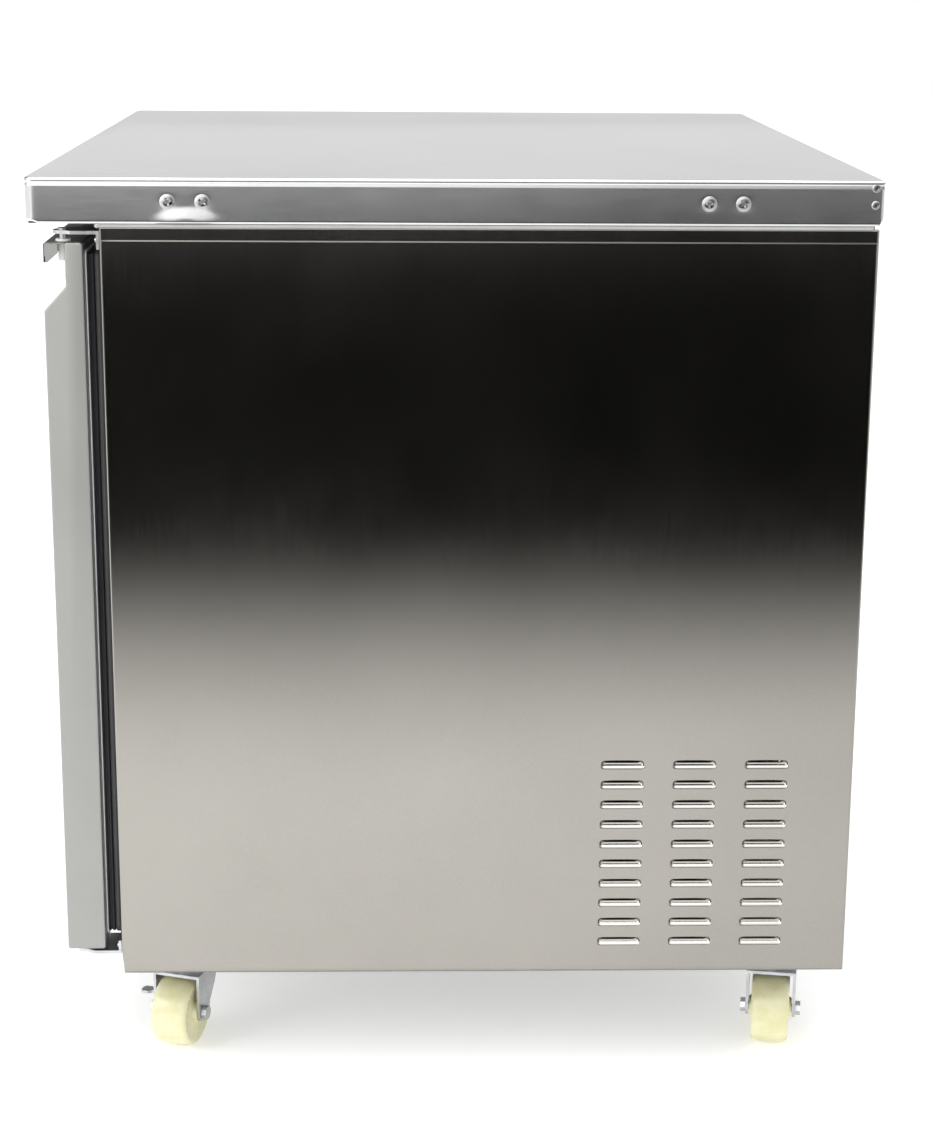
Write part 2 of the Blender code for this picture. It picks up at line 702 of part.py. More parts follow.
def make_door(side, word):
    empty = pivot(f"{word}_door_hinge", (side * HINGE_X, HINGE_Y, 0))
    hang(make_door_shell(side, f"{word}_door_shell"), empty)
    hang(make_door_liner(side, f"{word}_door_liner"), empty)
    hang(make_gasket(side, f"{word}_door_gasket"), empty)
    hang(make_bush(side, f"{word}_upper_bush", True), empty)
    hang(make_bush(side, f"{word}_lower_bush", False), empty)
    make_bracket(side, f"{word}_upper_bracket", True)
    make_bracket(side, f"{word}_lower_bracket", False)


# ---------------------------------------------------------------- casters

def make_mount_plate(name, x, y):
    """A caster's top plate with its swivel race and the riveted kingpin."""
    top = RAIL_BOTTOM - GAP
    under = top - MOUNT_PLATE
    half = MOUNT_PLATE_HALF
    plate = solid(name, "zinc_plate", block((x - half, y - half, under), (x + half, y + half, top)))
    crown_bottom = CROWN_TOP - CROWN
    profile = [(RACE_R, under + OVERLAP), (RACE_R, CROWN_TOP + GAP), (KINGPIN_R, CROWN_TOP + GAP),
               (KINGPIN_R, crown_bottom - GAP), (KINGPIN_HEAD_R, crown_bottom - GAP),
               (KINGPIN_HEAD_R - 0.001, crown_bottom - KINGPIN_HEAD)]
    join(plate, "race", turned("z", (x, y), profile))


def fork_outline():
    """The fork's side view in caster coordinates: crown at the top, legs down to the axle."""
    outline = [(CROWN_REAR, CROWN_TOP), (CROWN_REAR, CROWN_TOP - CROWN),
               (-0.0125, CROWN_TOP - 0.0075), (-0.0085, CROWN_TOP - 0.0185)]
    for i in range(7):
        angle = math.radians(210 + 150 * i / 6)
        outline.append((TRAIL + LEG_END_R * math.cos(angle), WHEEL_R + LEG_END_R * math.sin(angle)))
    outline.append((TRAIL + LEG_END_R, CROWN_TOP))
    return outline


def make_fork(name, empty):
    """A pressed fork: an upside-down U crossed with the side view."""
    outer, inner = LEG_OUTER, LEG_OUTER - LEG
    under, reach = CROWN_TOP - CROWN, 2 * LEG_OUTER
    arch = [(-outer, 0), (-inner, 0), (-inner, under), (inner, under), (inner, 0), (outer, 0),
            (outer, CROWN_TOP), (-outer, CROWN_TOP)]
    fork = solid(name, "zinc_plate", prism(arch, "x", -reach, reach))
    helpers = [apply_tool(fork, "side_view", prism(fork_outline(), "y", -reach, reach),
                          "INTERSECT")]
    helpers.append(cut(fork, "kingpin_hole",
                       turned("z", (0, 0), [(KINGPIN_HOLE_R, under - BREAKTHROUGH),
                                            (KINGPIN_HOLE_R, under + BREAKTHROUGH)])))
    helpers.append(cut(fork, "axle_hole",
                       turned("y", (TRAIL, WHEEL_R), [(AXLE_HOLE_R, -reach), (AXLE_HOLE_R, reach)])))
    for item in [fork] + helpers:
        item.parent = empty
    return fork


def make_wheel(name, empty):
    """A one-piece nylon wheel with a rounded tread and a hub."""
    edge, hub = WHEEL_HALF, HUB_HALF
    half = [(AXLE_BORE_R, hub), (0.0095, hub), (0.0105, edge - 0.001), (0.0250, edge - 0.001),
            (WHEEL_R - 0.0040, edge), (WHEEL_R - 0.0012, edge - 0.0022), (WHEEL_R, edge - 0.0060)]
    profile = half + [(r, -along) for r, along in reversed(half)]
    wheel = solid(name, "wheel_nylon", turned("y", (0, 0), profile, sides=WHEEL_SIDES, closed=True))
    wheel.parent = empty
    wheel.location = (TRAIL, 0, WHEEL_R)
    return smooth(wheel)


def make_axle(name, empty):
    """The axle bolt with its hexagon head and nut."""
    centre, grip = (0, 0), LEG_OUTER + GAP
    end = grip + AXLE_HEAD
    rings = []
    for along, hexagon in ((-end, True), (-grip, True), (-grip, False),
                           (grip, False), (grip, True), (end, True)):
        if hexagon:
            rings.append(ring("y", centre, AXLE_HEAD_R, along, corners=6))
        else:
            rings.append(ring("y", centre, AXLE_R, along))
    axle = solid(name, "zinc_plate", loft(rings))
    axle.parent = empty
    axle.location = (TRAIL, 0, WHEEL_R)


def make_brake_lever(name, empty):
    """A side brake: a flat plate outside the fork's leg, with a thumb tab bent outwards."""
    inner = -LEG_OUTER - BRAKE_CLEAR
    outer = inner - BRAKE_PLATE
    plate = [(-0.0170, -0.0025), (-0.0060, -0.0090), (0.0055, -0.0090), (0.0090, -0.0045),
             (0.0090, 0.0060), (-0.0040, 0.0060), (-0.0170, 0.0040)]
    lever = solid(name, "zinc_plate", prism(plate, "y", outer, inner))
    middle = BRAKE_TAB_X - BRAKE_PIVOT[0]
    tab = []
    for i in range(9):
        angle = math.radians(180 + 180 * i / 8)
        tab.append((middle + BRAKE_TAB_R * math.cos(angle),
                    outer - BRAKE_TAB_R / 2 + BRAKE_TAB_R * math.sin(angle)))
    tab += [(middle + BRAKE_TAB_R, outer + OVERLAP), (middle - BRAKE_TAB_R, outer + OVERLAP)]
    helper = join(lever, "tab", prism(tab, "z", BRAKE_TAB_LOW, BRAKE_TAB_HIGH))
    rivet = [(0.0035, inner - 0.001), (0.0035, outer - 0.0006), (0.0022, outer - 0.0016)]
    rivet_helper = join(lever, "rivet", turned("y", (0, 0), rivet))
    for item in (lever, helper, rivet_helper):
        item.parent = empty
        item.location = (BRAKE_PIVOT[0], 0, BRAKE_PIVOT[1])


def make_caster(word, place):
    x, y, yaw, braked = place
    make_mount_plate(f"{word}_caster_plate", x, y)
    empty = pivot(f"{word}_swivel", (x, y, 0), yaw)
    make_fork(f"{word}_fork", empty)
    make_wheel(f"{word}_wheel", empty)
    make_axle(f"{word}_axle", empty)
    if braked:
        make_brake_lever(f"{word}_brake_lever", empty)


# ---------------------------------------------------------------- inside the cold space

def make_shelf(side, name):
    """A wire shelf, as a flat grid of bars."""
    low, high = span(side, MULLION_X + 0.006, CAVITY_X - 0.003)
    shelf = solid(name, "wire_coating", block((low, SHELF_FRONT, SHELF_Z),
                                              (high, SHELF_REAR, SHELF_Z + SHELF_WIRE)))
    bar = SHELF_BAR
    pitch = (high - low - bar) / SHELF_BARS
    middle = (SHELF_FRONT + SHELF_REAR) / 2
    z0, z1 = SHELF_Z - BREAKTHROUGH, SHELF_Z + 2 * BREAKTHROUGH
    holes = []
    for i in range(SHELF_BARS):
        x = low + bar + i * pitch
        for y0, y1 in ((SHELF_FRONT + bar, middle - bar / 2), (middle + bar / 2, SHELF_REAR - bar)):
            holes.append(block((x, y0, z0), (x + pitch - bar, y1, z1)))
    cut(shelf, "grid", merged(holes))


def make_evaporator():
    """The cover high on the rear wall, with its coil, its fan's motor and its fan."""
    rear, top = WALL_Y, CAVITY_CEILING - 2 * GAP - LINER
    cover = solid("evaporator_cover", "liner_aluminium",
                  block((-COVER_X, COVER_FRONT, COVER_BOTTOM), (COVER_X, rear, top)))
    cut(cover, "hollow", block((-COVER_X + SHEET, COVER_FRONT + SHEET, COVER_BOTTOM + SHEET),
                               (COVER_X - SHEET, rear + BREAKTHROUGH, top - SHEET)))
    hole = EVAPORATOR_FAN_R + FAN_CLEAR
    cut(cover, "fan_hole",
        turned("y", (0, EVAPORATOR_FAN_Z), [(hole, COVER_FRONT - BREAKTHROUGH),
                                            (hole, COVER_FRONT + BREAKTHROUGH)]))
    coil = solid("evaporator_coil", "coil_aluminium",
                 block((COIL_LEFT, COIL_FRONT, COVER_BOTTOM + 0.004),
                       (COVER_X - 0.006, rear - GAP, top - 0.006)))
    motor_front = EVAPORATOR_MOTOR_FRONT
    spaces = []
    for i in range(COIL_FINS):
        x = COIL_FIN_START + i * COIL_FIN_PITCH
        spaces.append(block((x, 0, 0), (x + COIL_FIN_SPACE, motor_front, HEIGHT)))
    cut(coil, "fin_spaces", merged(spaces))
    motor = [(0.022, rear - GAP), (0.022, motor_front), (0.008, motor_front - 0.002),
             (FAN_SHAFT_R, motor_front - 0.002), (FAN_SHAFT_R, COVER_FRONT + 0.006)]
    smooth(solid("evaporator_fan_motor", "black_enamel",
                 turned("y", (0, EVAPORATOR_FAN_Z), motor)))
    empty = pivot("evaporator_fan_axis", (0, COVER_FRONT + 0.015, EVAPORATOR_FAN_Z))
    hub = (COVER_FRONT + 0.008, COVER_FRONT + 0.022)
    hang(make_fan("evaporator_fan", "y", (0, EVAPORATOR_FAN_Z), hub, EVAPORATOR_HUB_R,
                  EVAPORATOR_FAN_R), empty)


def make_fan(name, axis, centre, hub, hub_r, tip_r, blades=4):
    """A fan: a hub on its motor's shaft, with flat pitched blades."""
    shape = turned(axis, centre, [(FAN_BORE_R, hub[0]), (hub_r, hub[0]), (hub_r, hub[1]),
                                  (FAN_BORE_R, hub[1])], closed=True)
    fan = solid(name, "black_plastic", shape)
    middle, tip_half = (hub[0] + hub[1]) / 2, tip_r * BLADE_SPREAD
    pitch = (hub[1] - hub[0]) * BLADE_SPREAD / tip_half
    root, pieces = hub_r * 0.75, []
    for k in range(blades):
        turn = 2 * math.pi * k / blades
        verts = []
        for reach, half_width in ((root, hub_r * 0.5), (tip_r, tip_half)):
            for edge in (-1, 1):
                shrink = min(1.0, tip_r / math.hypot(reach, half_width))
                along, across = reach * shrink, edge * half_width * shrink
                a = centre[0] + along * math.cos(turn) - across * math.sin(turn)
                b = centre[1] + along * math.sin(turn) + across * math.cos(turn)
                for face in (-BLADE_HALF, BLADE_HALF):
                    verts.append(placed(axis, a, b, middle + pitch * across + face))
        faces = [(0, 1, 3, 2), (4, 6, 7, 5), (0, 4, 5, 1), (2, 3, 7, 6), (0, 2, 6, 4), (1, 5, 7, 3)]
        pieces.append((verts, faces))
    join(fan, "blades", merged(pieces))
    return fan


def make_thermostat():
    """A control box beside the evaporator cover, with a turning knob."""
    x, z = KNOB
    solid("control_box", "black_plastic",
          block((x - 0.040, CONTROL_FRONT, z - 0.035), (x + 0.040, WALL_Y, z + 0.035)))
    empty = pivot("thermostat_axis", (x, CONTROL_FRONT - 0.008, z))
    profile = [(0.016, CONTROL_FRONT - GAP), (0.0155, CONTROL_FRONT - 0.006),
               (0.013, CONTROL_FRONT - 0.0095), (0.0125, CONTROL_FRONT - 0.016)]
    knob = solid("thermostat_knob", "black_plastic", turned("y", KNOB, profile))
    hang(smooth(knob), empty)
    ridge = join(knob, "ridge", block((x - 0.002, CONTROL_FRONT - 0.0195, z - 0.012),
                                      (x + 0.002, CONTROL_FRONT - 0.0145, z + 0.012)))
    hang(ridge, empty)


# ---------------------------------------------------------------- machine compartment

def make_unit():
    """The condensing unit: tray, compressor, condenser, shroud, fan motor and fan."""
    tray_low = PAN_TOP + GAP
    solid("unit_tray", "frame_steel",
          block((-TRAY_X, TRAY_FRONT, tray_low), (TRAY_X, TRAY_REAR, TRAY_TOP)))
    base = TRAY_TOP + GAP
    dome = [(0.062, base), (0.062, base + 0.012), (0.074, base + 0.020), (0.074, base + 0.085),
            (0.077, base + 0.088), (0.077, base + 0.094), (0.074, base + 0.097),
            (0.072, base + 0.130), (0.060, base + 0.155), (0.035, base + 0.168),
            (0.010, base + 0.171)]
    smooth(solid("compressor", "black_enamel",
                 turned("z", (COMPRESSOR_X, UNIT_Y), dome, sides=WHEEL_SIDES)))
    top = base + UNIT_HEIGHT
    y0, y1 = UNIT_Y - UNIT_HALF, UNIT_Y + UNIT_HALF
    coil = solid("condenser_coil", "coil_aluminium",
                 block((CONDENSER_LEFT, y0, base), (CONDENSER_RIGHT, y1, top)))
    spaces = []
    for i in range(CONDENSER_FINS):
        y = y0 + 0.010 + i * CONDENSER_FIN_PITCH
        spaces.append(block((CONDENSER_LEFT - BREAKTHROUGH, y, base + 0.008),
                            (CONDENSER_FIN_DEPTH, y + CONDENSER_FIN_SPACE, top - 0.008)))
    cut(coil, "fin_spaces", merged(spaces))
    shroud = solid("condenser_shroud", "black_plastic",
                   block((CONDENSER_RIGHT + GAP, y0, base), (SHROUD_RIGHT, y1, top)))
    hole = CONDENSER_FAN_R + FAN_CLEAR
    cut(shroud, "fan_hole", turned("x", (UNIT_Y, UNIT_Z), [(hole, CONDENSER_RIGHT - BREAKTHROUGH),
                                                           (hole, SHROUD_RIGHT + BREAKTHROUGH)],
                                   sides=WHEEL_SIDES))
    motor = [(FAN_SHAFT_R, -0.306), (FAN_SHAFT_R, -0.268), (0.012, -0.268), (0.036, -0.262),
             (0.036, -0.205), (0.015, -0.200)]
    body = smooth(solid("condenser_fan_motor", "black_enamel",
                        turned("x", (UNIT_Y, UNIT_Z), motor)))
    join(body, "post", block((-0.250, UNIT_Y - 0.020, base),
                             (-0.215, UNIT_Y + 0.020, UNIT_Z - 0.020)))
    empty = pivot("condenser_fan_axis", (-0.290, UNIT_Y, UNIT_Z))
    hang(make_fan("condenser_fan", "x", (UNIT_Y, UNIT_Z), CONDENSER_HUB, CONDENSER_HUB_R,
                  CONDENSER_FAN_R), empty)


def main():
    clear_scene()
    make_worktop()
    make_side_panel(1, "right_side_panel")
    make_side_panel(-1, "left_side_panel")
    make_back()
    make_cord_gland()
    make_base_pan()
    make_insulation()
    make_face_frame()
    make_caster_rail(1, "right_caster_rail")
    make_caster_rail(-1, "left_caster_rail")
    make_door(1, "right")
    make_door(-1, "left")
    for word, place in CASTERS.items():
        make_caster(word, place)
    make_shelf(1, "right_shelf")
    make_shelf(-1, "left_shelf")
    make_evaporator()
    make_thermostat()
    make_unit()


main()
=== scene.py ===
"""Looks of the two-door undercounter refrigerator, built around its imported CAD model.

Metres, +Z up, the doors face -Y. The CAD nodes keep their places: this script gives them
materials and soft edges, and replaces the ones whose sheet metal needs finer shapes.
"""
import json
import math

import bmesh
import bpy
from mathutils import Matrix, Vector


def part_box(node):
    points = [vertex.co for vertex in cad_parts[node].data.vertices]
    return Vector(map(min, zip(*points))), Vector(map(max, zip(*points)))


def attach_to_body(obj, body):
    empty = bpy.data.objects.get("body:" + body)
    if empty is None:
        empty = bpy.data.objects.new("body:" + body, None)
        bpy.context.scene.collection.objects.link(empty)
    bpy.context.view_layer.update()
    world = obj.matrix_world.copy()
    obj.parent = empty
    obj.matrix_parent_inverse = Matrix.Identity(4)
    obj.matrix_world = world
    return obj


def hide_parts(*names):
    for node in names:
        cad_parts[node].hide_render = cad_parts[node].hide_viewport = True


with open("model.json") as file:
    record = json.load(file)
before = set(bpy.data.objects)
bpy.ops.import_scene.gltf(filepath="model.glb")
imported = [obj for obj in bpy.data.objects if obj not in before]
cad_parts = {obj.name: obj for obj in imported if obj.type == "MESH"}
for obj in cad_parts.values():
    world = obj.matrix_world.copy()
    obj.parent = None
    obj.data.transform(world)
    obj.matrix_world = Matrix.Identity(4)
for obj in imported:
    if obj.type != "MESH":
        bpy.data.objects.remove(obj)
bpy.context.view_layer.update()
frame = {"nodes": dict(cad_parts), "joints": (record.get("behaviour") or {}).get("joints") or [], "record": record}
MM = 0.001
SHEET = 1.2 * MM
SIDES = {"right": 1, "left": -1}
CASTERS = {"front_right": True, "front_left": True, "rear_right": False, "rear_left": False}

PANEL_LOW, PANEL_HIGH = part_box("right_side_panel")
SHELL_LOW, SHELL_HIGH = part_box("right_door_shell")
GASKET_LOW, GASKET_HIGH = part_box("right_door_gasket")
BUSH_LOW, BUSH_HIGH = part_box("right_upper_bush")
BRACKET_LOW, BRACKET_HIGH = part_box("right_upper_bracket")
SHELF_LOW, SHELF_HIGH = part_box("right_shelf")
COVER_LOW, COVER_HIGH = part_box("evaporator_cover")
GRILLE_LOW, GRILLE_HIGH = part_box("rear_grille")
BACK_LOW, BACK_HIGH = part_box("back_panel")
HINGE_X = (BUSH_LOW[0] + BUSH_HIGH[0]) / 2
HINGE_Y = (BUSH_LOW[1] + BUSH_HIGH[1]) / 2
FLANGE_Y = PANEL_LOW[1]         # the front of the cabinet's frame
PANEL_X = PANEL_HIGH[0]


# ---- stage, light and camera

CAMERA_PLACE = (2.542, -0.047, 1.054)
CAMERA_TURNS = ((88.387, "Z"), (75.5375, "X"), (0.408, "Z"))    # yaw, pitch and roll in degrees
CAMERA_LENS = 75.3


def added(name, data):
    """A new object in the scene."""
    obj = bpy.data.objects.new(name, data)
    bpy.context.scene.collection.objects.link(obj)
    return obj


def make_camera():
    data = bpy.data.cameras.new("camera")
    data.lens = CAMERA_LENS
    data.sensor_width = 36.0
    data.clip_start = 0.02
    camera = added("camera", data)
    turn = Matrix()
    for angle, axis in CAMERA_TURNS:
        turn = turn @ Matrix.Rotation(math.radians(angle), 4, axis)
    camera.matrix_world = Matrix.Translation(CAMERA_PLACE) @ turn
    bpy.context.scene.camera = camera


class Nodes:
    """Short ways to add and join shader nodes."""

    def __init__(self, tree, coordinate):
        self.tree = tree
        self.coords = self.new("TexCoord").outputs[coordinate]

    def new(self, kind, **settings):
        node = self.tree.nodes.new("ShaderNode" + kind)
        for key, value in settings.items():
            setattr(node, key, value)
        return node

    def feed(self, socket, value):
        """Links an output to a socket, or sets the socket to a plain value."""
        if hasattr(value, "is_linked"):
            self.tree.links.new(value, socket)
        elif socket.type == "RGBA":
            socket.default_value = (*value, 1.0)
        else:
            socket.default_value = value

    def fill(self, node, *values):
        """Feeds a node's inputs in their order, and gives its first output."""
        for socket, value in zip(node.inputs, values):
            self.feed(socket, value)
        return node.outputs[0]

    def axis(self, name):
        node = self.new("SeparateXYZ")
        self.feed(node.inputs[0], self.coords)
        return node.outputs[name]

    def span(self, value, start, end, low=0.0, high=1.0, soft=False):
        """Goes from low to high as value goes from start to end."""
        node = self.new("MapRange")
        if soft:
            node.interpolation_type = "SMOOTHSTEP"
        return self.fill(node, value, start, end, low, high)

    def math(self, operation, a, b):
        return self.fill(self.new("Math", operation=operation), a, b)

    def noise(self, scale, detail=4.0, stretch=(1, 1, 1)):
        mapping = self.new("Mapping")
        self.feed(mapping.inputs["Scale"], stretch)
        self.feed(mapping.inputs["Vector"], self.coords)
        node = self.new("TexNoise")
        self.feed(node.inputs["Scale"], scale)
        self.feed(node.inputs["Detail"], detail)
        self.feed(node.inputs["Vector"], mapping.outputs[0])
        return node.outputs["Fac"]

    def mix(self, fac, low, high):
        node = self.new("Mix", data_type="RGBA")
        self.feed(node.inputs[0], fac)
        self.feed(node.inputs[6], low)
        self.feed(node.inputs[7], high)
        return node.outputs[2]

    def bump(self, height, strength, distance, below=None):
        node = self.new("Bump")
        self.feed(node.inputs["Strength"], strength)
        self.feed(node.inputs["Distance"], distance)
        self.feed(node.inputs["Height"], height)
        if below:
            self.feed(node.inputs["Normal"], below)
        return node.outputs["Normal"]

    def blend(self, fac, first, second):
        """One shader, going over to a second."""
        return self.fill(self.new("MixShader"), fac, first, second)


def surface(name, colour, roughness, metallic=0.0):
    """A material with its Principled shader and a way to add nodes."""
    material = bpy.data.materials.new(name)
    material.use_nodes = True
    add = Nodes(material.node_tree, "Object")
    shader = material.node_tree.nodes["Principled BSDF"].inputs
    add.feed(shader["Base Color"], colour)
    add.feed(shader["Roughness"], roughness)
    add.feed(shader["Metallic"], metallic)
    return material, add, shader


def stage_sheet(name, reach, half, z, material):
    """A level rectangle, from one x to another and as far to both sides."""
    mesh = bpy.data.meshes.new(name)
    near, far = reach
    mesh.from_pydata([(near, -half, z), (far, -half, z), (far, half, z), (near, half, z)],
                     [], [(0, 1, 2, 3)])
    mesh.materials.append(material)
    sheet = added(name, mesh)
    return sheet


DARK_START, DARK_FULL = 1.20, 2.65      # x at which the dark sheet starts and is full
DARK_FAR, DARK_END = 6.0, 14.0          # x from where it gets lighter, and its far edge
DARK_MIDDLE, DARK_HALF_WIDTH, DARK_SPREAD, DARK_SOFT = 0.15, 0.45, 0.20, 1.2
DARK_LEVEL, DARK_GLOW = 0.002, 0.08     # its brightness near and far
GLOW_Y, GLOW_FACTORS = (-2.0, 2.0), (1.7, 0.5)      # from y to y, and the brightness's factors there
SHADE_Y, SHADE = (0.0, 0.8), 0.20       # from y to y, a weak shade beside it, and its strength
SHEET_START, SHEET_HALF, SHEET_Z = 0.47, 11.0, 0.002    # the sheet's near edge, half width and height
FLOOR_HALF, FLOOR_TONE, FLOOR_GLOW = 16.0, 0.90, 0.30


def make_floor():
    """A pale floor, and a dark sheet on it, beside the right panel, that only reflections see."""
    pale, add, shader = surface("pale_floor", (FLOOR_TONE, FLOOR_TONE, FLOOR_TONE), 0.9)
    add.feed(shader["Specular IOR Level"], 0.1)
    add.feed(shader["Emission Color"], (1.0, 1.0, 1.0))
    add.feed(shader["Emission Strength"], FLOOR_GLOW)
    stage_sheet("floor", (-FLOOR_HALF, FLOOR_HALF), FLOOR_HALF, 0.0, pale)

    dark = bpy.data.materials.new("dark_room")
    dark.use_nodes = True
    dark.node_tree.nodes.clear()
    add = Nodes(dark.node_tree, "Object")
    along, across = add.axis("X"), add.axis("Y")
    near = add.span(along, DARK_START, DARK_FULL, soft=True)
    reach = add.math("ADD", add.math("MULTIPLY", along, DARK_SPREAD), DARK_HALF_WIDTH)
    off_middle = add.math("ABSOLUTE", add.math("SUBTRACT", across, DARK_MIDDLE), 0.0)
    past = add.math("SUBTRACT", off_middle, reach)
    fade = add.math("MULTIPLY", near, add.span(past, 0.0, DARK_SOFT, 1.0, 0.0, soft=True))
    fade = add.math("MAXIMUM", fade, add.span(across, *SHADE_Y, 0.0, SHADE))
    glow = add.span(along, DARK_FAR, DARK_END, DARK_LEVEL, DARK_GLOW)
    glow = add.math("MULTIPLY", glow, add.span(across, *GLOW_Y, *GLOW_FACTORS))
    emit = add.new("Emission")
    add.feed(emit.inputs["Strength"], glow)
    add.feed(add.new("OutputMaterial").inputs["Surface"],
             add.blend(fade, add.new("BsdfTransparent").outputs[0], emit.outputs[0]))
    sheet = stage_sheet("dark_sheet", (SHEET_START, DARK_END), SHEET_HALF, SHEET_Z, dark)
    for ray in ("camera", "diffuse", "shadow", "transmission"):
        setattr(sheet, f"visible_{ray}", False)


WORLD_BASE = 0.82               # the surroundings' brightness, by direction (x, y, z)
BAND_X, BAND_Z, BAND_GAIN = (0.2, 0.8), (0.35, 0.75), 0.55      # more, low on the camera's side
UPPER_X, UPPER_Z, UPPER_GAIN = (0.1, 0.4), (0.40, 0.60), 1.5    # more, high on the camera's side
ACROSS_Y, ACROSS_FACTORS = (-0.15, 0.25), (1.30, 0.21)          # the low band, front to rear
BEHIND_X, BEHIND_FOOT, BEHIND_HEAD, BEHIND_LOSS = (-0.5, -0.3), (0.42, 0.48), (0.64, 0.72), 0.9
DIFFUSE_LEVEL = 0.95            # what the surroundings give to matt surfaces


def make_world():
    """White surroundings: brighter on the camera's side, and a dark strip behind the object."""
    world = bpy.data.worlds.new("studio")
    bpy.context.scene.world = world
    world.use_nodes = True
    world.node_tree.nodes.clear()
    add = Nodes(world.node_tree, "Generated")
    x, y, z = (add.axis(name) for name in "XYZ")
    band = add.math("MULTIPLY", add.span(x, *BAND_X, soft=True),
                    add.span(z, *BAND_Z, 1.0, 0.0, soft=True))
    strength = add.math("ADD", WORLD_BASE, add.math("MULTIPLY", band, BAND_GAIN))
    upper = add.math("MULTIPLY", add.span(x, *UPPER_X), add.span(z, *UPPER_Z, soft=True))
    strength = add.math("ADD", strength, add.math("MULTIPLY", upper, UPPER_GAIN))
    across = add.math("SUBTRACT", add.span(y, *ACROSS_Y, *ACROSS_FACTORS), 1.0)
    strength = add.math("MULTIPLY", strength, add.math("ADD", 1.0, add.math("MULTIPLY", band, across)))
    strip = add.math("MULTIPLY", add.span(z, *BEHIND_FOOT), add.span(z, *BEHIND_HEAD, 1.0, 0.0))
    behind = add.math("MULTIPLY", strip, add.span(x, *BEHIND_X, BEHIND_LOSS, 0.0))
    strength = add.math("MULTIPLY", strength, add.math("SUBTRACT", 1.0, behind))
    reflected, seen, soft = (add.new("Background") for _ in range(3))
    for node, level in ((reflected, strength), (seen, 1.0), (soft, DIFFUSE_LEVEL)):
        add.feed(node.inputs["Color"], (1.0, 1.0, 1.0))
        add.feed(node.inputs["Strength"], level)
    ray = add.new("LightPath")
    shown = reflected.outputs[0]
    for kind, light in (("Is Diffuse Ray", soft), ("Is Camera Ray", seen)):
        shown = add.blend(ray.outputs[kind], shown, light.outputs[0])
    add.feed(add.new("OutputWorld").inputs["Surface"], shown)


def area_light(name, place, target, size, power):
    data = bpy.data.lights.new(name, "AREA")
    data.shape = "RECTANGLE"
    data.size, data.size_y = size
    data.energy = power
    light = added(name, data)
    light.location = place
    direction = Vector(target) - Vector(place)
    light.rotation_euler = direction.to_track_quat("-Z", "Y").to_euler()


make_camera()
make_floor()
make_world()
area_light("overhead", (0.4, -0.2, 3.2), (0, 0, 0.4), (3.0, 3.0), 45)
area_light("front_left", (1.9, -2.9, 1.9), (0.2, 0, 0.4), (1.6, 1.6), 40)
bpy.context.scene.view_settings.view_transform = "Standard"


# ---- materials

def scaled(colour, factor):
    """A colour times a factor, kept within 1."""
    return tuple(min(1.0, channel * factor) for channel in colour)


NOISE_MIDDLE = (0.35, 0.65)     # where most of a noise's values lie


def mottled(add, noise, colour, amount):
    """A colour that is darker and lighter by a share, following a noise."""
    return add.mix(add.span(noise, *NOISE_MIDDLE), scaled(colour, 1 - amount),
                   scaled(colour, 1 + amount))


def steel(name, colour, roughness, grain, wave=0.0, wave_size=(1, 1, 1), smudge=0.04, uneven=0.01):
    """Stainless sheet: fine brush lines, cloudy smudges, specks and a slight waviness."""
    material, add, shader = surface(name, colour, roughness, 1.0)
    lines = add.noise(1500, 2.0, grain)
    cloud = add.noise(6, 6.0)
    speck = add.noise(1100, 2.0)
    tone = mottled(add, cloud, colour, smudge)
    tone = add.mix(add.span(speck, 0.45, 0.85), tone, scaled(colour, 1.10))
    add.feed(shader["Base Color"], tone)
    rough = add.math("ADD", add.span(lines, 0.3, 0.7, -0.012, 0.012),
                     add.span(cloud, *NOISE_MIDDLE, roughness - uneven, roughness + uneven))
    add.feed(shader["Roughness"], rough)
    normal = add.bump(lines, 0.05, 0.00004)
    if wave:
        normal = add.bump(add.noise(3.0, 2.5, wave_size), wave, 0.02, normal)
    add.feed(shader["Normal"], normal)
    return material


def zinc(name, colour, roughness, mottle=0.13):
    """Plated or bare pressed metal: mottled, with soft pits and worn light patches."""
    material, add, shader = surface(name, colour, roughness, 1.0)
    fine = add.noise(190, 5.0)
    patch = add.noise(42, 3.0)
    add.feed(shader["Base Color"], mottled(add, patch, colour, mottle))
    add.feed(shader["Roughness"], add.span(fine, 0.3, 0.7, roughness - 0.07, roughness + 0.10))
    add.feed(shader["Normal"], add.bump(fine, 0.08, 0.0002))
    return material


def plastic(name, colour, roughness, mottle=0.05, bump=0.12, size=420):
    """Moulded plastic, rubber or enamel with a fine skin and a faintly uneven tone."""
    material, add, shader = surface(name, colour, roughness)
    skin = add.noise(size)
    cloud = add.noise(24, 3.0)
    add.feed(shader["Base Color"], mottled(add, cloud, colour, mottle))
    add.feed(shader["Roughness"], add.span(skin, 0.3, 0.7, roughness - 0.05, roughness + 0.07))
    add.feed(shader["Normal"], add.bump(skin, bump, 0.00025))
    return material


def cast_nylon(name, light, deep, scuffed):
    """Waxy cast nylon, yellower in places and scuffed round the tread."""
    material, add, shader = surface(name, light, 0.30)
    cloud = add.span(add.noise(46, 5.0), *NOISE_MIDDLE)
    scuff = add.span(add.noise(230, 5.0, (1, 0.3, 1)), 0.58, 0.78)
    add.feed(shader["Base Color"], add.mix(scuff, add.mix(cloud, deep, light), scuffed))
    add.feed(shader["Roughness"], add.span(scuff, 0.0, 1.0, 0.24, 0.46))
    add.feed(shader["Normal"], add.bump(scuff, 0.10, 0.0002))
    add.feed(shader["Subsurface Weight"], 0.15)
    add.feed(shader["Subsurface Radius"], (0.006, 0.005, 0.003))
    add.feed(shader["Subsurface Scale"], 1.0)
    return material


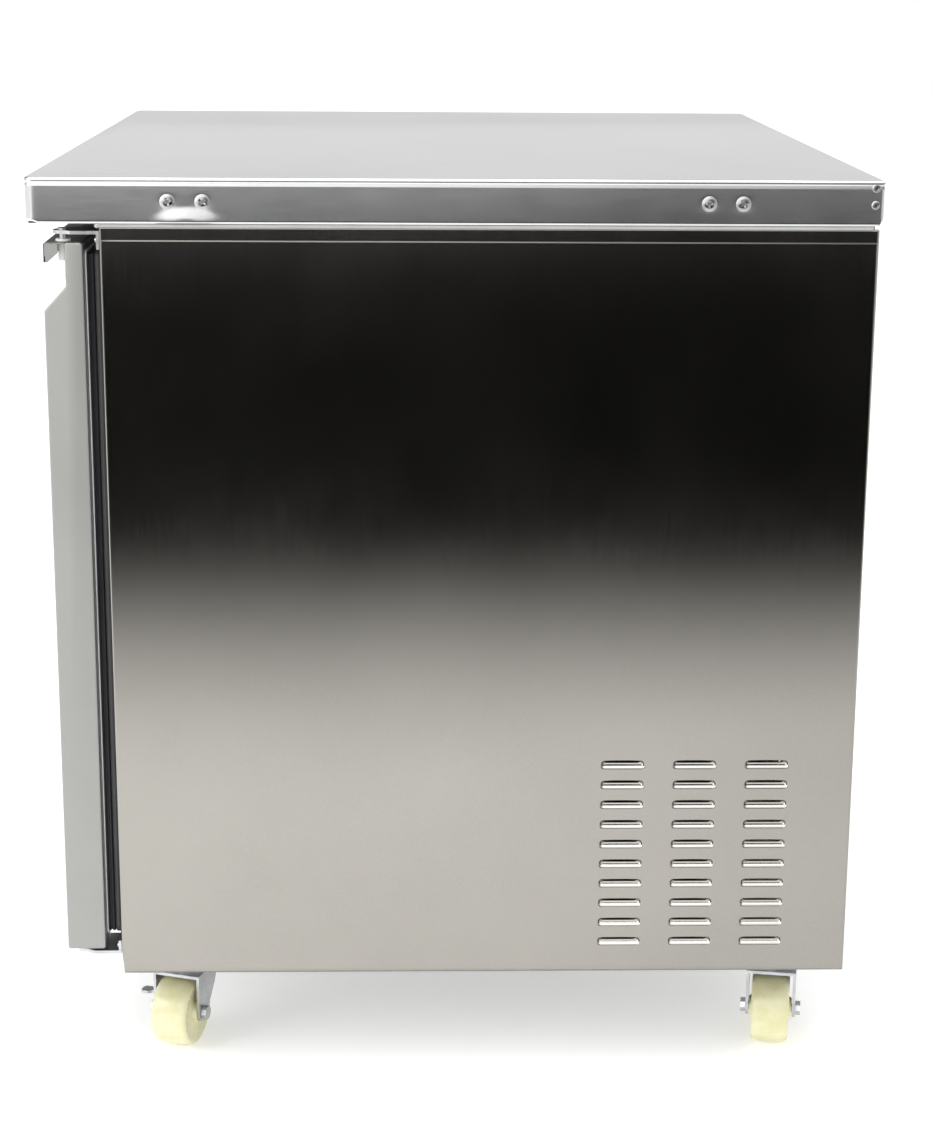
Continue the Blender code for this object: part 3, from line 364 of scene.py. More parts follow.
def foam_board(name, dark, light):
    """Cut foam with its open cells."""
    material, add, shader = surface(name, light, 0.9)
    cells = add.noise(700, 2.0)
    add.feed(shader["Base Color"], add.mix(add.span(cells, *NOISE_MIDDLE), dark, light))
    add.feed(shader["Normal"], add.bump(cells, 0.5, 0.0006))
    return material


ALONG_Y, ALONG_Z = (1, 0.02, 1), (1, 1, 0.02)       # how the brush lines run
LOOKS = {      # a kind of material and its values
    "worktop_steel": (steel, (0.66, 0.66, 0.665), 0.17, ALONG_Y, 0.007, (2, 3, 5), 0.06),
    "panel_steel": (steel, (0.340, 0.326, 0.300), 0.115, ALONG_Z, 0.001, (1, 1, 0.6)),
    "door_steel": (steel, (0.365, 0.363, 0.350), 0.56, ALONG_Z, 0.004, (1, 1, 1), 0.045),
    "frame_steel": (steel, (0.52, 0.52, 0.51), 0.36, (0.02, 1, 1)),
    "liner_aluminium": (steel, (0.72, 0.72, 0.73), 0.42, ALONG_Z),
    "door_lining": (steel, (0.50, 0.50, 0.50), 0.40, ALONG_Z),
    "foam": (foam_board, (0.66, 0.56, 0.31), (0.84, 0.76, 0.50)),
    # a dark board colour for the worktop's core: painted shade for where it shows in the gap under the lips
    "sealed_board": (foam_board, (0.030, 0.028, 0.026), (0.055, 0.052, 0.048)),
    "gasket_vinyl": (plastic, (0.010, 0.010, 0.012), 0.40, 0.15, 0.2),
    "gasket_bead": (plastic, (0.060, 0.060, 0.063), 0.45, 0.10, 0.2),
    "bead_trim": (plastic, (0.40, 0.40, 0.39), 0.30, 0.05, 0.1),
    "zinc_plate": (zinc, (0.52, 0.53, 0.54), 0.32, 0.08),
    "bright_zinc": (zinc, (0.42, 0.42, 0.41), 0.15, 0.06),
    "white_nylon": (plastic, (0.88, 0.88, 0.85), 0.32, 0.03, 0.08),
    "wheel_nylon": (cast_nylon, (0.78, 0.755, 0.51), (0.70, 0.67, 0.38), (0.58, 0.55, 0.35)),
    "black_enamel": (plastic, (0.018, 0.018, 0.020), 0.30, 0.15, 0.3, 90),
    "coil_aluminium": (zinc, (0.62, 0.63, 0.65), 0.38),
    "black_plastic": (plastic, (0.028, 0.028, 0.028), 0.48, 0.12, 0.25),
    "copper_pipe": (zinc, (0.72, 0.33, 0.19), 0.30),
    "wire_coating": (plastic, (0.70, 0.71, 0.72), 0.30, 0.04, 0.1),
}
MATERIALS = {name: kind(name, *values) for name, (kind, *values) in LOOKS.items()}


# ---- mesh helpers

def around(centre, radius, angle):
    """A point at an angle round a centre."""
    return centre[0] + radius * math.cos(angle), centre[1] + radius * math.sin(angle)


def quarter(centre, radius, start, steps):
    """The points of a quarter turn about a centre, from a start angle in degrees."""
    return [around(centre, radius, math.radians(start + 90 * k / steps)) for k in range(steps + 1)]


def round_angles(sides):
    """Even steps of angle round a full turn."""
    return [2 * math.pi * k / sides for k in range(sides)]


def in_mm(points):
    """Points given in millimetres."""
    return [tuple(value * MM for value in point) for point in points]


def placed(axis, a, b, along):
    """A point from its outline's two coordinates and its place along an axis."""
    if axis == "x":
        return (along, a, b)
    if axis == "y":
        return (a, along, b)
    return (a, b, along)


def loft(rings, closed=False):
    """A skin through rings of equal length, capped at both ends or joined end to end."""
    count = len(rings[0])
    verts = [v for ring in rings for v in ring]
    faces = []
    last = len(rings) if closed else len(rings) - 1
    for k in range(last):
        a, b = k * count, ((k + 1) % len(rings)) * count
        for i in range(count):
            j = (i + 1) % count
            faces.append((a + i, a + j, b + j, b + i))
    if not closed:
        faces.append(tuple(range(count)))
        faces.append(tuple(range(len(verts) - 1, len(verts) - 1 - count, -1)))
    return verts, faces


def prism(outline, axis, low, high):
    """An outline in the two other axes, extruded along one axis."""
    return loft([[placed(axis, a, b, along) for a, b in outline] for along in (low, high)])


def block(low, high):
    """A box between two corners."""
    (x0, y0, z0), (x1, y1, z1) = low, high
    return prism([(x0, y0), (x1, y0), (x1, y1), (x0, y1)], "z", z0, z1)


def turned(axis, centre, profile, sides=48, closed=False):
    """A profile of (radius, place along the axis), turned about the axis."""
    rings = []
    for radius, along in profile:
        rings.append([placed(axis, *around(centre, radius, a), along) for a in round_angles(sides)])
    return loft(rings, closed)


def hoop(axis, centre, radius, along, wire, sides=40):
    """A ring of round wire about an axis."""
    profile = [around((radius, along), wire, a) for a in round_angles(8)]
    return turned(axis, centre, profile, sides, closed=True)


def tube(points, radius, sides=10):
    """A round wire or pipe through points, with flat ends."""
    points = [Vector(p) for p in points]
    rings, side = [], None
    for i, point in enumerate(points):
        ahead = (points[min(i + 1, len(points) - 1)] - points[max(i - 1, 0)]).normalized()
        side = side or ahead.orthogonal()
        side = (side - ahead * side.dot(ahead)).normalized()
        other = ahead.cross(side)
        rings.append([tuple(point + radius * (math.cos(a) * side + math.sin(a) * other))
                      for a in round_angles(sides)])
    return loft(rings)


def merged(shapes):
    """Several (vertices, faces) shapes as one."""
    verts, faces = [], []
    for more_verts, more_faces in shapes:
        start = len(verts)
        verts += list(more_verts)
        faces += [tuple(i + start for i in face) for face in more_faces]
    return verts, faces


def moved(shape, matrix):
    """A shape carried by a matrix."""
    return [tuple(matrix @ Vector(v)) for v in shape[0]], shape[1]


def filleted(corners, steps=5):
    """A closed outline from (a, b, radius) corners, each rounded by its radius."""
    count, outline = len(corners), []
    for i, (a, b, radius) in enumerate(corners):
        corner = Vector((a, b))
        if radius <= 0:
            outline.append((a, b))
            continue
        before = (Vector(corners[i - 1][:2]) - corner).normalized()
        after = (Vector(corners[(i + 1) % count][:2]) - corner).normalized()
        half = math.acos(before.dot(after)) / 2
        centre = corner + (before + after).normalized() * (radius / math.sin(half))
        reach = radius / math.tan(half)
        start, end = corner + before * reach - centre, corner + after * reach - centre
        turn = start.angle(end) * (1 if start.x * end.y > start.y * end.x else -1)
        for k in range(steps + 1):
            c, s = math.cos(turn * k / steps), math.sin(turn * k / steps)
            outline.append((centre.x + start.x * c - start.y * s, centre.y + start.x * s + start.y * c))
    return outline


def inset_outline(outline, distance):
    """The outline moved inwards by a distance, along its corner normals."""
    area = sum(a[0] * b[1] - b[0] * a[1] for a, b in zip(outline, outline[1:] + outline[:1]))
    sign = 1 if area > 0 else -1
    result = []
    for i, point in enumerate(outline):
        before = (Vector(point) - Vector(outline[i - 1])).normalized()
        after = (Vector(outline[(i + 1) % len(outline)]) - Vector(point)).normalized()
        normals = [Vector((-d.y, d.x)) * sign for d in (before, after)]
        middle = (normals[0] + normals[1]).normalized()
        result.append(tuple(Vector(point) + middle * (distance / max(0.3, middle.dot(normals[0])))))
    return result


def on_joint(child, centre):
    """Carries a shape from the origin to a centre, and turns its +Y to the child's joint axis."""
    axis = next(joint["axis"] for joint in frame["joints"] if joint["child"] == child)
    return Matrix.Translation(centre) @ Matrix.Rotation(math.atan2(-axis[0], axis[1]), 4, "Z")


SMOOTH = 38                     # degrees: edges sharper than this stay sharp


def attach(obj, body, replaces=()):
    """Rides a piece on a body, and hides the nodes that it stands for."""
    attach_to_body(obj, body)
    if replaces:
        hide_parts(*replaces)


def shade(mesh, material, smooth=SMOOTH):
    """One material over a mesh, smooth except at its sharp edges."""
    mesh.materials.clear()
    mesh.materials.append(material)
    mesh.shade_smooth()
    mesh.set_sharp_from_angle(angle=math.radians(smooth))


def make(name, shape, finish, body, smooth=SMOOTH, replaces=()):
    """A piece with its material, riding on a body if one is given."""
    mesh = bpy.data.meshes.new(name)
    mesh.from_pydata(shape[0], [], shape[1])
    edit = bmesh.new()
    edit.from_mesh(mesh)
    bmesh.ops.recalc_face_normals(edit, faces=edit.faces)
    edit.to_mesh(mesh)
    edit.free()
    obj = added(name, mesh)
    shade(mesh, MATERIALS[finish], smooth)
    if body:
        attach(obj, body, replaces)
    return obj


def bevel(obj, width):
    """Soft edges that catch the light."""
    step = obj.modifiers.new("soft_edges", "BEVEL")
    step.width = width
    step.segments = 2
    step.limit_method = "ANGLE"
    step.angle_limit = math.radians(32)
    step.harden_normals = True


def carve(obj, shape):
    """Cuts a shape out of a piece, for good."""
    cutter = make("cutter", shape, "foam", None)
    step = obj.modifiers.new("carve", "BOOLEAN")
    step.solver = "EXACT"
    step.object = cutter
    depsgraph = bpy.context.evaluated_depsgraph_get()
    result = bpy.data.meshes.new_from_object(obj.evaluated_get(depsgraph))
    obj.modifiers.remove(step)
    material = obj.data.materials[0]
    obj.data = result
    shade(result, material)
    bpy.data.objects.remove(cutter, do_unlink=True)


def smoothstep(value):
    """A soft step from 0 to 1 as the value goes from 0 to 1."""
    value = max(0.0, min(1.0, value))
    return value * value * (3 - 2 * value)


# ---- worktop

WORKTOP_LOW, WORKTOP_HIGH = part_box("worktop")
TOP, LIP_BOTTOM = WORKTOP_HIGH[2], WORKTOP_LOW[2]
FRONT, REAR, HALF = WORKTOP_LOW[1], WORKTOP_HIGH[1], WORKTOP_HIGH[0]
LIP_SCREWS_Y = (-0.2547, -0.2239, 0.2245, 0.2548)
LIP_SCREW_Z = TOP - 21.2 * MM
RIVET_Y, RIVETS_Z = REAR - 8.5 * MM, (TOP - 6.8 * MM, TOP - 21.8 * MM)
DRAWN_IN = 0.75 * MM            # how far the side lip stands inside the top's outline
BULGE_Y, BULGE_Z = -0.2385, LIP_BOTTOM + 1.5 * MM
BULGE_HALF, BULGE_HEIGHT = 26 * MM, 11 * MM
DIMPLE, DIMPLE_R = 0.12 * MM, 9 * MM
FRONT_R, REAR_R = 8 * MM, 2 * MM        # the outline's corner radii
CREASE_Z = TOP - 6.2 * MM       # the faint crease under the upper fold
CORNER_CUT = 4.5 * MM           # how much higher the lip's bottom is at the cut corners


def lip_pull(y, z):
    """The side lip's shape: a bulge below the front screws, and a shallow seat at each screw."""
    across, up = (y - BULGE_Y) / BULGE_HALF, max(0.0, z - BULGE_Z) / BULGE_HEIGHT
    pull = -DRAWN_IN * smoothstep(1.25 - math.hypot(across, up))
    nearest = min(math.hypot(y - screw_y, z - LIP_SCREW_Z) for screw_y in LIP_SCREWS_Y)
    return pull + DIMPLE * smoothstep(1.35 * (1.0 - nearest / DIMPLE_R))


def lip_stations():
    """The places along y at which the side lip has points: closer round screws and rivets."""
    stations = [FRONT + 12 * MM, -0.34, -0.31]
    stations += [-0.290 + 4 * MM * k for k in range(26)]
    stations += [-0.16 + 0.03 * k for k in range(13)]
    stations += [0.208 + 4 * MM * k for k in range(16)]
    stations += [0.29, 0.32, 0.345, REAR - 20 * MM]
    stations += [RIVET_Y + d * MM for d in (-8.0, -6.0, -4.5, -3.0, -1.5, 0.0, 1.5)]
    return stations + [REAR - 4 * MM]


def worktop_ring(inset, z, corner_lift=0.0, lip=False):
    """The worktop's outline at one height; corner_lift raises its corners, where they are cut."""
    x0, x1, y0, y1 = -HALF + inset, HALF - inset, FRONT + inset, REAR - inset
    front_r, rear_r = max(FRONT_R - inset, 0.5 * MM), max(REAR_R - inset, 0.3 * MM)
    points = []

    def corner(cx, cy, radius, start, steps, lift):
        points.extend((x, y, z + lift) for x, y in quarter((cx, cy), radius, start, steps))

    def side(sign, x, ys):
        points.extend((x - sign * lip_pull(y, z) if lip else x, y, z) for y in ys)

    stations = lip_stations()
    corner(x1 - front_r, y0 + front_r, front_r, -90, 8, corner_lift * 0.4)
    side(1, x1, stations)
    corner(x1 - rear_r, y1 - rear_r, rear_r, 0, 3, corner_lift)
    corner(x0 + rear_r, y1 - rear_r, rear_r, 90, 3, corner_lift)
    side(-1, x0, stations[::-1])
    corner(x0 + front_r, y0 + front_r, front_r, 180, 8, corner_lift * 0.4)
    return points


def make_worktop():
    """The folded top: a soft upper fold with a crease, drawn-in lips, a hem and cut corners."""
    fold, hem = 2.6 * MM, 2.8 * MM
    rings = [worktop_ring(SHEET, TOP - SHEET),
             worktop_ring(SHEET + DRAWN_IN + DIMPLE, LIP_BOTTOM + 8 * MM),
             worktop_ring(SHEET + hem, LIP_BOTTOM + 6 * MM, CORNER_CUT),
             worktop_ring(hem, LIP_BOTTOM + 0.4 * MM, CORNER_CUT),
             worktop_ring(1.6 * MM, LIP_BOTTOM, CORNER_CUT)]
    for rise, inset in ((0.5, 0.45), (1.2, 0.25), (2.0, 0.0)):
        rings.append(worktop_ring(DRAWN_IN + inset * MM, LIP_BOTTOM + rise * MM, CORNER_CUT, True))
    start, steps = LIP_BOTTOM + 2.8 * MM, 20
    for k in range(steps + 1):
        share = k / steps
        rings.append(worktop_ring(DRAWN_IN, start + (CREASE_Z - start) * share,
                                  CORNER_CUT * max(0.0, 1 - 5 * share), True))
    for rise, inset in ((0.7, 0.4), (1.2, 0.4), (1.8, 0.0), (2.6, -0.45)):
        rings.append(worktop_ring(DRAWN_IN + inset * MM, CREASE_Z + rise * MM))
    shoulder = DRAWN_IN - 0.45 * MM
    for k in range(9):
        turn = math.radians(90 * k / 8)
        rings.append(worktop_ring(shoulder + fold * (1 - math.cos(turn)),
                                  TOP - fold * (1 - math.sin(turn))))
    make("worktop_sheet", loft(rings), "worktop_steel", "cabinet", 30, ("worktop",))


def pan_head(radius, height, sides):
    """A domed screw head pointing along +X from the origin."""
    curve = ((1.0, 0.0), (1.0, 0.14), (0.97, 0.36), (0.86, 0.64), (0.66, 0.86), (0.40, 0.96),
             (0.15, 1.0), (0.005, 1.0))
    return turned("x", (0, 0), [(r * radius, h * height) for r, h in curve], sides)


def cross_bars(radius, height):
    """The tapered bars of a cross recess, to be cut from a pan head."""
    bars = []
    for turn in (20, 110):
        c, s = math.cos(math.radians(turn)), math.sin(math.radians(turn))
        rings = []
        for x, wide, half in ((0.3, 0.26, 0.10), (1.4, 0.72, 0.20)):
            corners = ((-wide, -half), (wide, -half), (wide, half), (-wide, half))
            rings.append([(x * height, (a * c - b * s) * radius, (a * s + b * c) * radius)
                          for a, b in corners])
        bars.append(loft(rings))
    return bars


class Fastener:
    """One fastener's mesh, put in many places."""

    def __init__(self, shape, finish, cutters=()):
        self.master = make("fastener", shape, finish, None, 40)
        for cutter in cutters:
            carve(self.master, cutter)
        self.finish = finish

    def put(self, name, place, facing, spin=0.0):
        """Puts a copy at a place, with its head pointing along facing."""
        obj = added(name, self.master.data)
        turn = Vector((1, 0, 0)).rotation_difference(Vector(facing)).to_matrix().to_4x4()
        obj.matrix_world = Matrix.Translation(place) @ turn @ Matrix.Rotation(spin, 4, "X")
        attach(obj, "cabinet")

    def done(self):
        """Removes the mesh's own object, once its copies are placed."""
        bpy.data.objects.remove(self.master, do_unlink=True)


def cross_screw(radius, height, sides=24):
    """A pan-head screw with a cross recess."""
    return Fastener(pan_head(radius, height, sides), "bright_zinc", cross_bars(radius, height))


def make_lip_fasteners():
    """Cross-recess screws on washers along the side lips, and two hollow rivets at each rear end, each with a
    black dome in its hole as painted shade.
    """
    height = 1.5 * MM
    screw = cross_screw(6.0 * MM, height, 32)
    disc = in_mm([(3, 0), (7, 0), (7, 0.5), (6.6, 0.8), (3, 0.8)])
    washer = Fastener(turned("x", (0, 0), disc, 40, True), "zinc_plate")
    rim = in_mm([(1.3, 0), (3.9, 0), (3.8, 0.3), (3.1, 0.8), (2.2, 0.9), (1.6, 0.7), (1.3, 0.2)])
    rivet = Fastener(turned("x", (0, 0), rim, 32, True), "bright_zinc")
    # a black dome in each rivet's hole: painted shade for the hole
    hole_shade = Fastener(pan_head(1.3 * MM, 0.5 * MM, 16), "black_enamel")
    for word, side in SIDES.items():
        for k, y in enumerate(LIP_SCREWS_Y):
            seat = HALF - DRAWN_IN - lip_pull(y, LIP_SCREW_Z)
            washer.put(f"{word}_lip_washer_{k + 1}", (side * (seat - 0.55 * MM), y, LIP_SCREW_Z),
                       (side, 0, 0))
            screw.put(f"{word}_lip_screw_{k + 1}", (side * (HALF - height), y, LIP_SCREW_Z),
                      (side, 0, 0), spin=0.6 * k)
        for k, z in enumerate(RIVETS_Z):
            x = side * (HALF - 0.95 * MM)
            rivet.put(f"{word}_lip_rivet_{k + 1}", (x, RIVET_Y, z), (side, 0, 0))
            hole_shade.put(f"{word}_rivet_hole_shade_{k + 1}", (x, RIVET_Y, z), (side, 0, 0))

    for item in (screw, washer, rivet, hole_shade):
        item.done()


def make_edge_beads():
    """The light bead between each side lip and its panel, with a round knob at its front end."""
    z, front, rear = LIP_BOTTOM - 1.95 * MM, -0.3175, REAR - 9 * MM
    knob = ((0.05, -2.2), (1.3, -1.9), (2.1, -1.0), (2.4, 0.0), (2.1, 1.2), (1.75, 2.2))
    profile = [(radius * MM, front + along * MM) for radius, along in knob]
    profile += [(1.75 * MM, rear), (0.05 * MM, rear)]
    for word, side in SIDES.items():
        x = side * (PANEL_X - 0.3 * MM)
        make(f"{word}_edge_bead", turned("y", (x, z), profile, 20), "bead_trim", "cabinet")


# ---- side panels

PANEL_TOP, PANEL_BOTTOM, PANEL_REAR = PANEL_HIGH[2], PANEL_LOW[2], PANEL_HIGH[1]
FOLD = 1.5 * MM
LOUVRE_START, LOUVRE_PITCH_Y, LOUVRE_LENGTH, LOUVRE_COLUMNS = 0.1388, 68.1 * MM, 42.5 * MM, 3
LOUVRE_TOP_ROW, LOUVRE_PITCH_Z, LOUVRE_ROWS = 0.3172, 19.9 * MM, 10
LOUVRE_HALF, LOUVRE_DEPTH = 4.5 * MM, 4.0 * MM
SLOPE, END_SLOPE = 5.4 * MM, 3.6 * MM       # how wide the pressing's lower and end slopes are
SLIT_LOW, SLIT_HIGH = 5.6 * MM, 8.6 * MM    # the open slit's heights above a louvre's foot
SLIT_STEPS = ((7 * MM, 1.0 * MM), (11 * MM, 0.5 * MM))     # how much lower it is near its ends
LOUVRE_RISES = (-0.5, 0.0, 0.5, 1.1, 1.9, 2.8, 3.7, 4.6, 5.6, 6.6, 7.6, 8.1, 8.6, 8.95, 9.05, 9.5)
SLIT_END = 4.4 * MM             # from a louvre's end to where its slit starts
STEP_Z, STEP = TOP - 55.9 * MM, 0.07 * MM   # the face is drawn in this much above this height
TAPER, TAPER_HEIGHT, TAPER_REACH = 2 * MM, 25 * MM, 35 * MM     # the cut-back lower front corner


def louvre_start(column):
    """The y at which a column's louvres start."""
    return LOUVRE_START + column * LOUVRE_PITCH_Y


def louvre_foot(row):
    """The z of the lower edge of a row's louvres."""
    return LOUVRE_TOP_ROW - row * LOUVRE_PITCH_Z - LOUVRE_HALF


def louvre_depth(y, z):
    """How far the sheet is pressed in at a place on the panel's face."""
    column = round((y - LOUVRE_START - LOUVRE_LENGTH / 2) / LOUVRE_PITCH_Y)
    column = min(LOUVRE_COLUMNS - 1, max(0, column))
    row = min(LOUVRE_ROWS - 1, max(0, round((LOUVRE_TOP_ROW - z) / LOUVRE_PITCH_Z)))
    from_middle = y - louvre_start(column) - LOUVRE_LENGTH / 2
    rise = z - louvre_foot(row)
    past = max(0.0, abs(from_middle) - (LOUVRE_LENGTH / 2 - LOUVRE_HALF))
    inside = LOUVRE_HALF - math.hypot(past, rise - LOUVRE_HALF)
    return LOUVRE_DEPTH * smoothstep(min(rise / SLOPE, inside / END_SLOPE))


def panel_path():
    """The folded sheet in plan, front flange to rear flange: (x, y, how much is face)."""
    edge = PANEL_X - (PANEL_HIGH[0] - PANEL_LOW[0])
    path = [(edge, FLANGE_Y, 0.0), (PANEL_X - FOLD - 3 * MM, FLANGE_Y, 0.0)]
    path += [(x, y, 0.0) for x, y in quarter((PANEL_X - FOLD, FLANGE_Y + FOLD), FOLD, -90, 4)]
    ys = [FLANGE_Y + 3 * MM, FLANGE_Y + 12 * MM] + [-0.28 + 0.06 * k for k in range(7)]
    end_steps = (-1.0, 0.0, 0.5, 1.1, 1.9, 2.8, 3.6, SLIT_END / MM, 7.0, 11.0)
    for start in map(louvre_start, range(LOUVRE_COLUMNS)):
        ys += [start + d * MM for d in end_steps]
        ys.append(start + LOUVRE_LENGTH / 2)
        ys += [start + LOUVRE_LENGTH - d * MM for d in reversed(end_steps)]
    ys += [PANEL_REAR - 12 * MM, PANEL_REAR - 3 * MM]
    path += [(PANEL_X, y, 1.0) for y in ys]
    path += [(x, y, 0.0) for x, y in quarter((PANEL_X - FOLD, PANEL_REAR - FOLD), FOLD, 0, 4)]
    return path + [(edge, PANEL_REAR, 0.0)]


def panel_heights():
    """The heights at which the panel's grid has points, bottom to top."""
    heights = [PANEL_BOTTOM + d * MM for d in (0, 4, 8, 16, 24)]
    for foot in map(louvre_foot, range(LOUVRE_ROWS)):
        heights += [foot + rise * MM for rise in LOUVRE_RISES]
    heights += [0.35 + 0.05 * k for k in range(9)]
    heights += [STEP_Z + d * MM for d in (-6.0, -1.2, -0.8, -0.4, 0.4, 0.8, 1.2)]
    heights += [PANEL_TOP - 4 * MM, PANEL_TOP - 1 * MM, PANEL_TOP]
    return sorted(heights)


def in_slit(y, z):
    """Whether a place on the panel's face is in a louvre's open slit."""
    for start in map(louvre_start, range(LOUVRE_COLUMNS)):
        from_end = min(y - start, start + LOUVRE_LENGTH - y)
        if from_end > SLIT_END:
            lower = max([drop for reach, drop in SLIT_STEPS if from_end < reach], default=0.0)
            if any(foot + SLIT_LOW < z < foot + SLIT_HIGH - lower
                   for foot in map(louvre_foot, range(LOUVRE_ROWS))):
                return True
    return False


def make_side_panel(word, side):
    """The folded side panel with its pressed louvres."""
    path, heights = panel_path(), panel_heights()
    verts, faces = [], []
    for z in heights:
        near_foot = smoothstep((PANEL_BOTTOM + TAPER_HEIGHT - z) / TAPER_HEIGHT)
        for x, y, face in path:
            depth = STEP * smoothstep((z - STEP_Z + 0.4 * MM) / (0.8 * MM)) * face
            if face:
                depth += louvre_depth(y, z)
            near_front = smoothstep((FLANGE_Y + TAPER_REACH - y) / (TAPER_REACH - 2 * MM))
            verts.append((side * (x - depth), y + TAPER * near_foot * near_front, z))
    count = len(path)
    for k in range(len(heights) - 1):       # a grid of faces, left open at the slits
        middle_z = (heights[k] + heights[k + 1]) / 2
        for i in range(count - 1):
            middle_y = (path[i][1] + path[i + 1][1]) / 2
            if path[i][2] and path[i + 1][2] and in_slit(middle_y, middle_z):
                continue
            a = k * count + i
            faces.append((a, a + 1, a + 1 + count, a + count))
    name = f"{word}_side_panel"
    panel = make(f"{name}_sheet", (verts, faces), "panel_steel", "cabinet", 50, (name,))
    towards = sum((f.normal.x * side * f.area for f in panel.data.polygons), 0.0)
    if towards < 0:
        panel.data.flip_normals()
    sheet = panel.modifiers.new("sheet", "SOLIDIFY")
    sheet.thickness = 1.0 * MM
    sheet.offset = -1.0             # all of the thickness goes inwards


# ---- doors

DOOR_TOP, DOOR_BOTTOM = SHELL_HIGH[2], SHELL_LOW[2]
DOOR_FRONT, DOOR_REAR = SHELL_LOW[1], SHELL_HIGH[1]
RECESS_Y, LIP_FOOT = DOOR_FRONT + 19.8 * MM, TOP - 75.3 * MM
KNEE_Z, FOOT_Z = TOP - 96.8 * MM, TOP - 118.5 * MM


def span(side, low, high):
    """A range of x on the right (+1) or the left (-1) of the middle."""
    return (low, high) if side > 0 else (-high, -low)


def softened_prism(outline, low, high, radius, steps=4):
    """A prism along x whose end faces have rounded edges."""
    rings = []
    for x, inward in ((low, 1), (high, -1)):
        for k in range(steps + 1)[::inward]:
            turn = math.radians(90 * k / steps)
            inset = radius * (1 - math.sin(turn))
            along = x + inward * radius * (1 - math.cos(turn))
            rings.append([(along, y, z) for y, z in inset_outline(outline, inset)])
    return loft(rings)


THROUGH = 0.01                  # how far a cutter reaches past what it cuts


def make_door_shell(word, side):
    """The outer door pan with its recess, and the folded handle lip over it."""
    low, high = span(side, SHELL_LOW[0], SHELL_HIGH[0])
    corners = [(DOOR_FRONT, DOOR_BOTTOM, 2.5 * MM), (DOOR_REAR, DOOR_BOTTOM, 2.5 * MM),
               (DOOR_REAR, DOOR_TOP, 3.2 * MM), (RECESS_Y, DOOR_TOP, 1.4 * MM),
               (RECESS_Y, KNEE_Z, 4 * MM), (DOOR_FRONT, FOOT_Z, 2 * MM)]
    outline = filleted(corners)
    shell = make(f"{word}_door_pan", softened_prism(outline, low, high, 1.3 * MM), "door_steel", None)
    pocket = [(y if y < DOOR_REAR - 3 * MM else DOOR_REAR + THROUGH, z)
              for y, z in inset_outline(outline, SHEET)]
    carve(shell, prism(pocket, "x", low + SHEET, high - SHEET))
    centre, hole = (side * HINGE_X, HINGE_Y), 5.0 * MM
    length = DOOR_TOP - BUSH_LOW[2] + 0.3 * MM
    for start, end in ((DOOR_TOP - length, DOOR_TOP + THROUGH),
                       (DOOR_BOTTOM - THROUGH, DOOR_BOTTOM + length)):
        carve(shell, turned("z", centre, [(hole, start), (hole, end)], 32))
    attach(shell, f"{word}_door", (f"{word}_door_shell",))

    front, t = DOOR_FRONT + 0.9 * MM, SHEET
    fold = filleted([(front, LIP_FOOT, 0.4 * MM), (front + t * 1.6, LIP_FOOT, 0.4 * MM),
                     (front + t * 1.6, LIP_FOOT + 5 * MM, 0), (front + t, LIP_FOOT + 6 * MM, 0),
                     (front + t, DOOR_TOP - t, 1.0 * MM), (RECESS_Y, DOOR_TOP - t, 0),
                     (RECESS_Y, DOOR_TOP - 0.05 * MM, 0), (front, DOOR_TOP - 0.05 * MM, 1.8 * MM)])
    gusset = filleted([(front + 0.4 * MM, LIP_FOOT, 0), (front + 3.4 * MM, LIP_FOOT, 1.0 * MM),
                       (HINGE_Y - 3.2 * MM, TOP - 67 * MM, 0), (HINGE_Y - 3.2 * MM, DOOR_TOP - t / 2, 0),
                       (front + 0.4 * MM, DOOR_TOP - t / 2, 1.0 * MM)])
    x0, x1 = low + 0.3 * MM, high - 0.3 * MM
    shape = merged([softened_prism(fold, x0, x1, 0.3 * MM, 2), prism(gusset, "x", x0, x0 + t),
                    prism(gusset, "x", x1 - t, x1)])
    lip = make(f"{word}_handle_lip", shape, "door_steel", None)
    carve(lip, turned("z", centre, [(hole, DOOR_TOP - THROUGH), (hole, DOOR_TOP + THROUGH)], 32))
    attach(lip, f"{word}_door")


def frame_loop(x0, x1, z0, z1, radius, section, steps=5):
    """A section of (inset, y) points swept round a rectangle with rounded corners."""
    rings = []
    for inset, y in section:
        ring = []
        r = max(radius - inset, 0.3 * MM)
        left, right, low, high = x0 + inset + r, x1 - inset - r, z0 + inset + r, z1 - inset - r
        for centre, start in (((right, low), -90), ((right, high), 0), ((left, high), 90),
                              ((left, low), 180)):
            ring += [(x, y, z) for x, z in quarter(centre, r, start, steps)]
        rings.append(ring)
    return loft(rings, closed=True)


HALF_BEAD = [(1.8, 9.2), (0.6, 10.0), (0.0, 11.2), (0.0, 13.6), (0.7, 15.2), (2.0, 16.4), (4.0, 16.9)]
GASKET_PARTS = {    # finish, how far it stands out, and its section of (inset, depth), in millimetres
    "retainer": ("wire_coating", -1.5, [(0, 0.3), (0.3, 0.0), (21.0, 0.0), (21.3, 0.3), (21.3, 1.0),
                                        (21.0, 1.3), (0.3, 1.3), (0, 1.0)]),
    "bellows": ("gasket_vinyl", 0.0, [
        (0.8, 1.3), (0.2, 3.0), (1.6, 4.4), (1.6, 5.2), (0.3, 6.6), (0.6, 8.2), (2.2, 9.2),
        (17.6, 9.2), (19.4, 8.2), (19.6, 6.6), (18.4, 5.2), (18.4, 4.4), (19.8, 3.0), (19.2, 1.3)]),
    "bead": ("gasket_bead", 0.0, HALF_BEAD + [(20.0 - inset, y) for inset, y in HALF_BEAD[::-1]]),
}
GASKET_DEPTH = 16.9 * MM        # the sections' depth in all


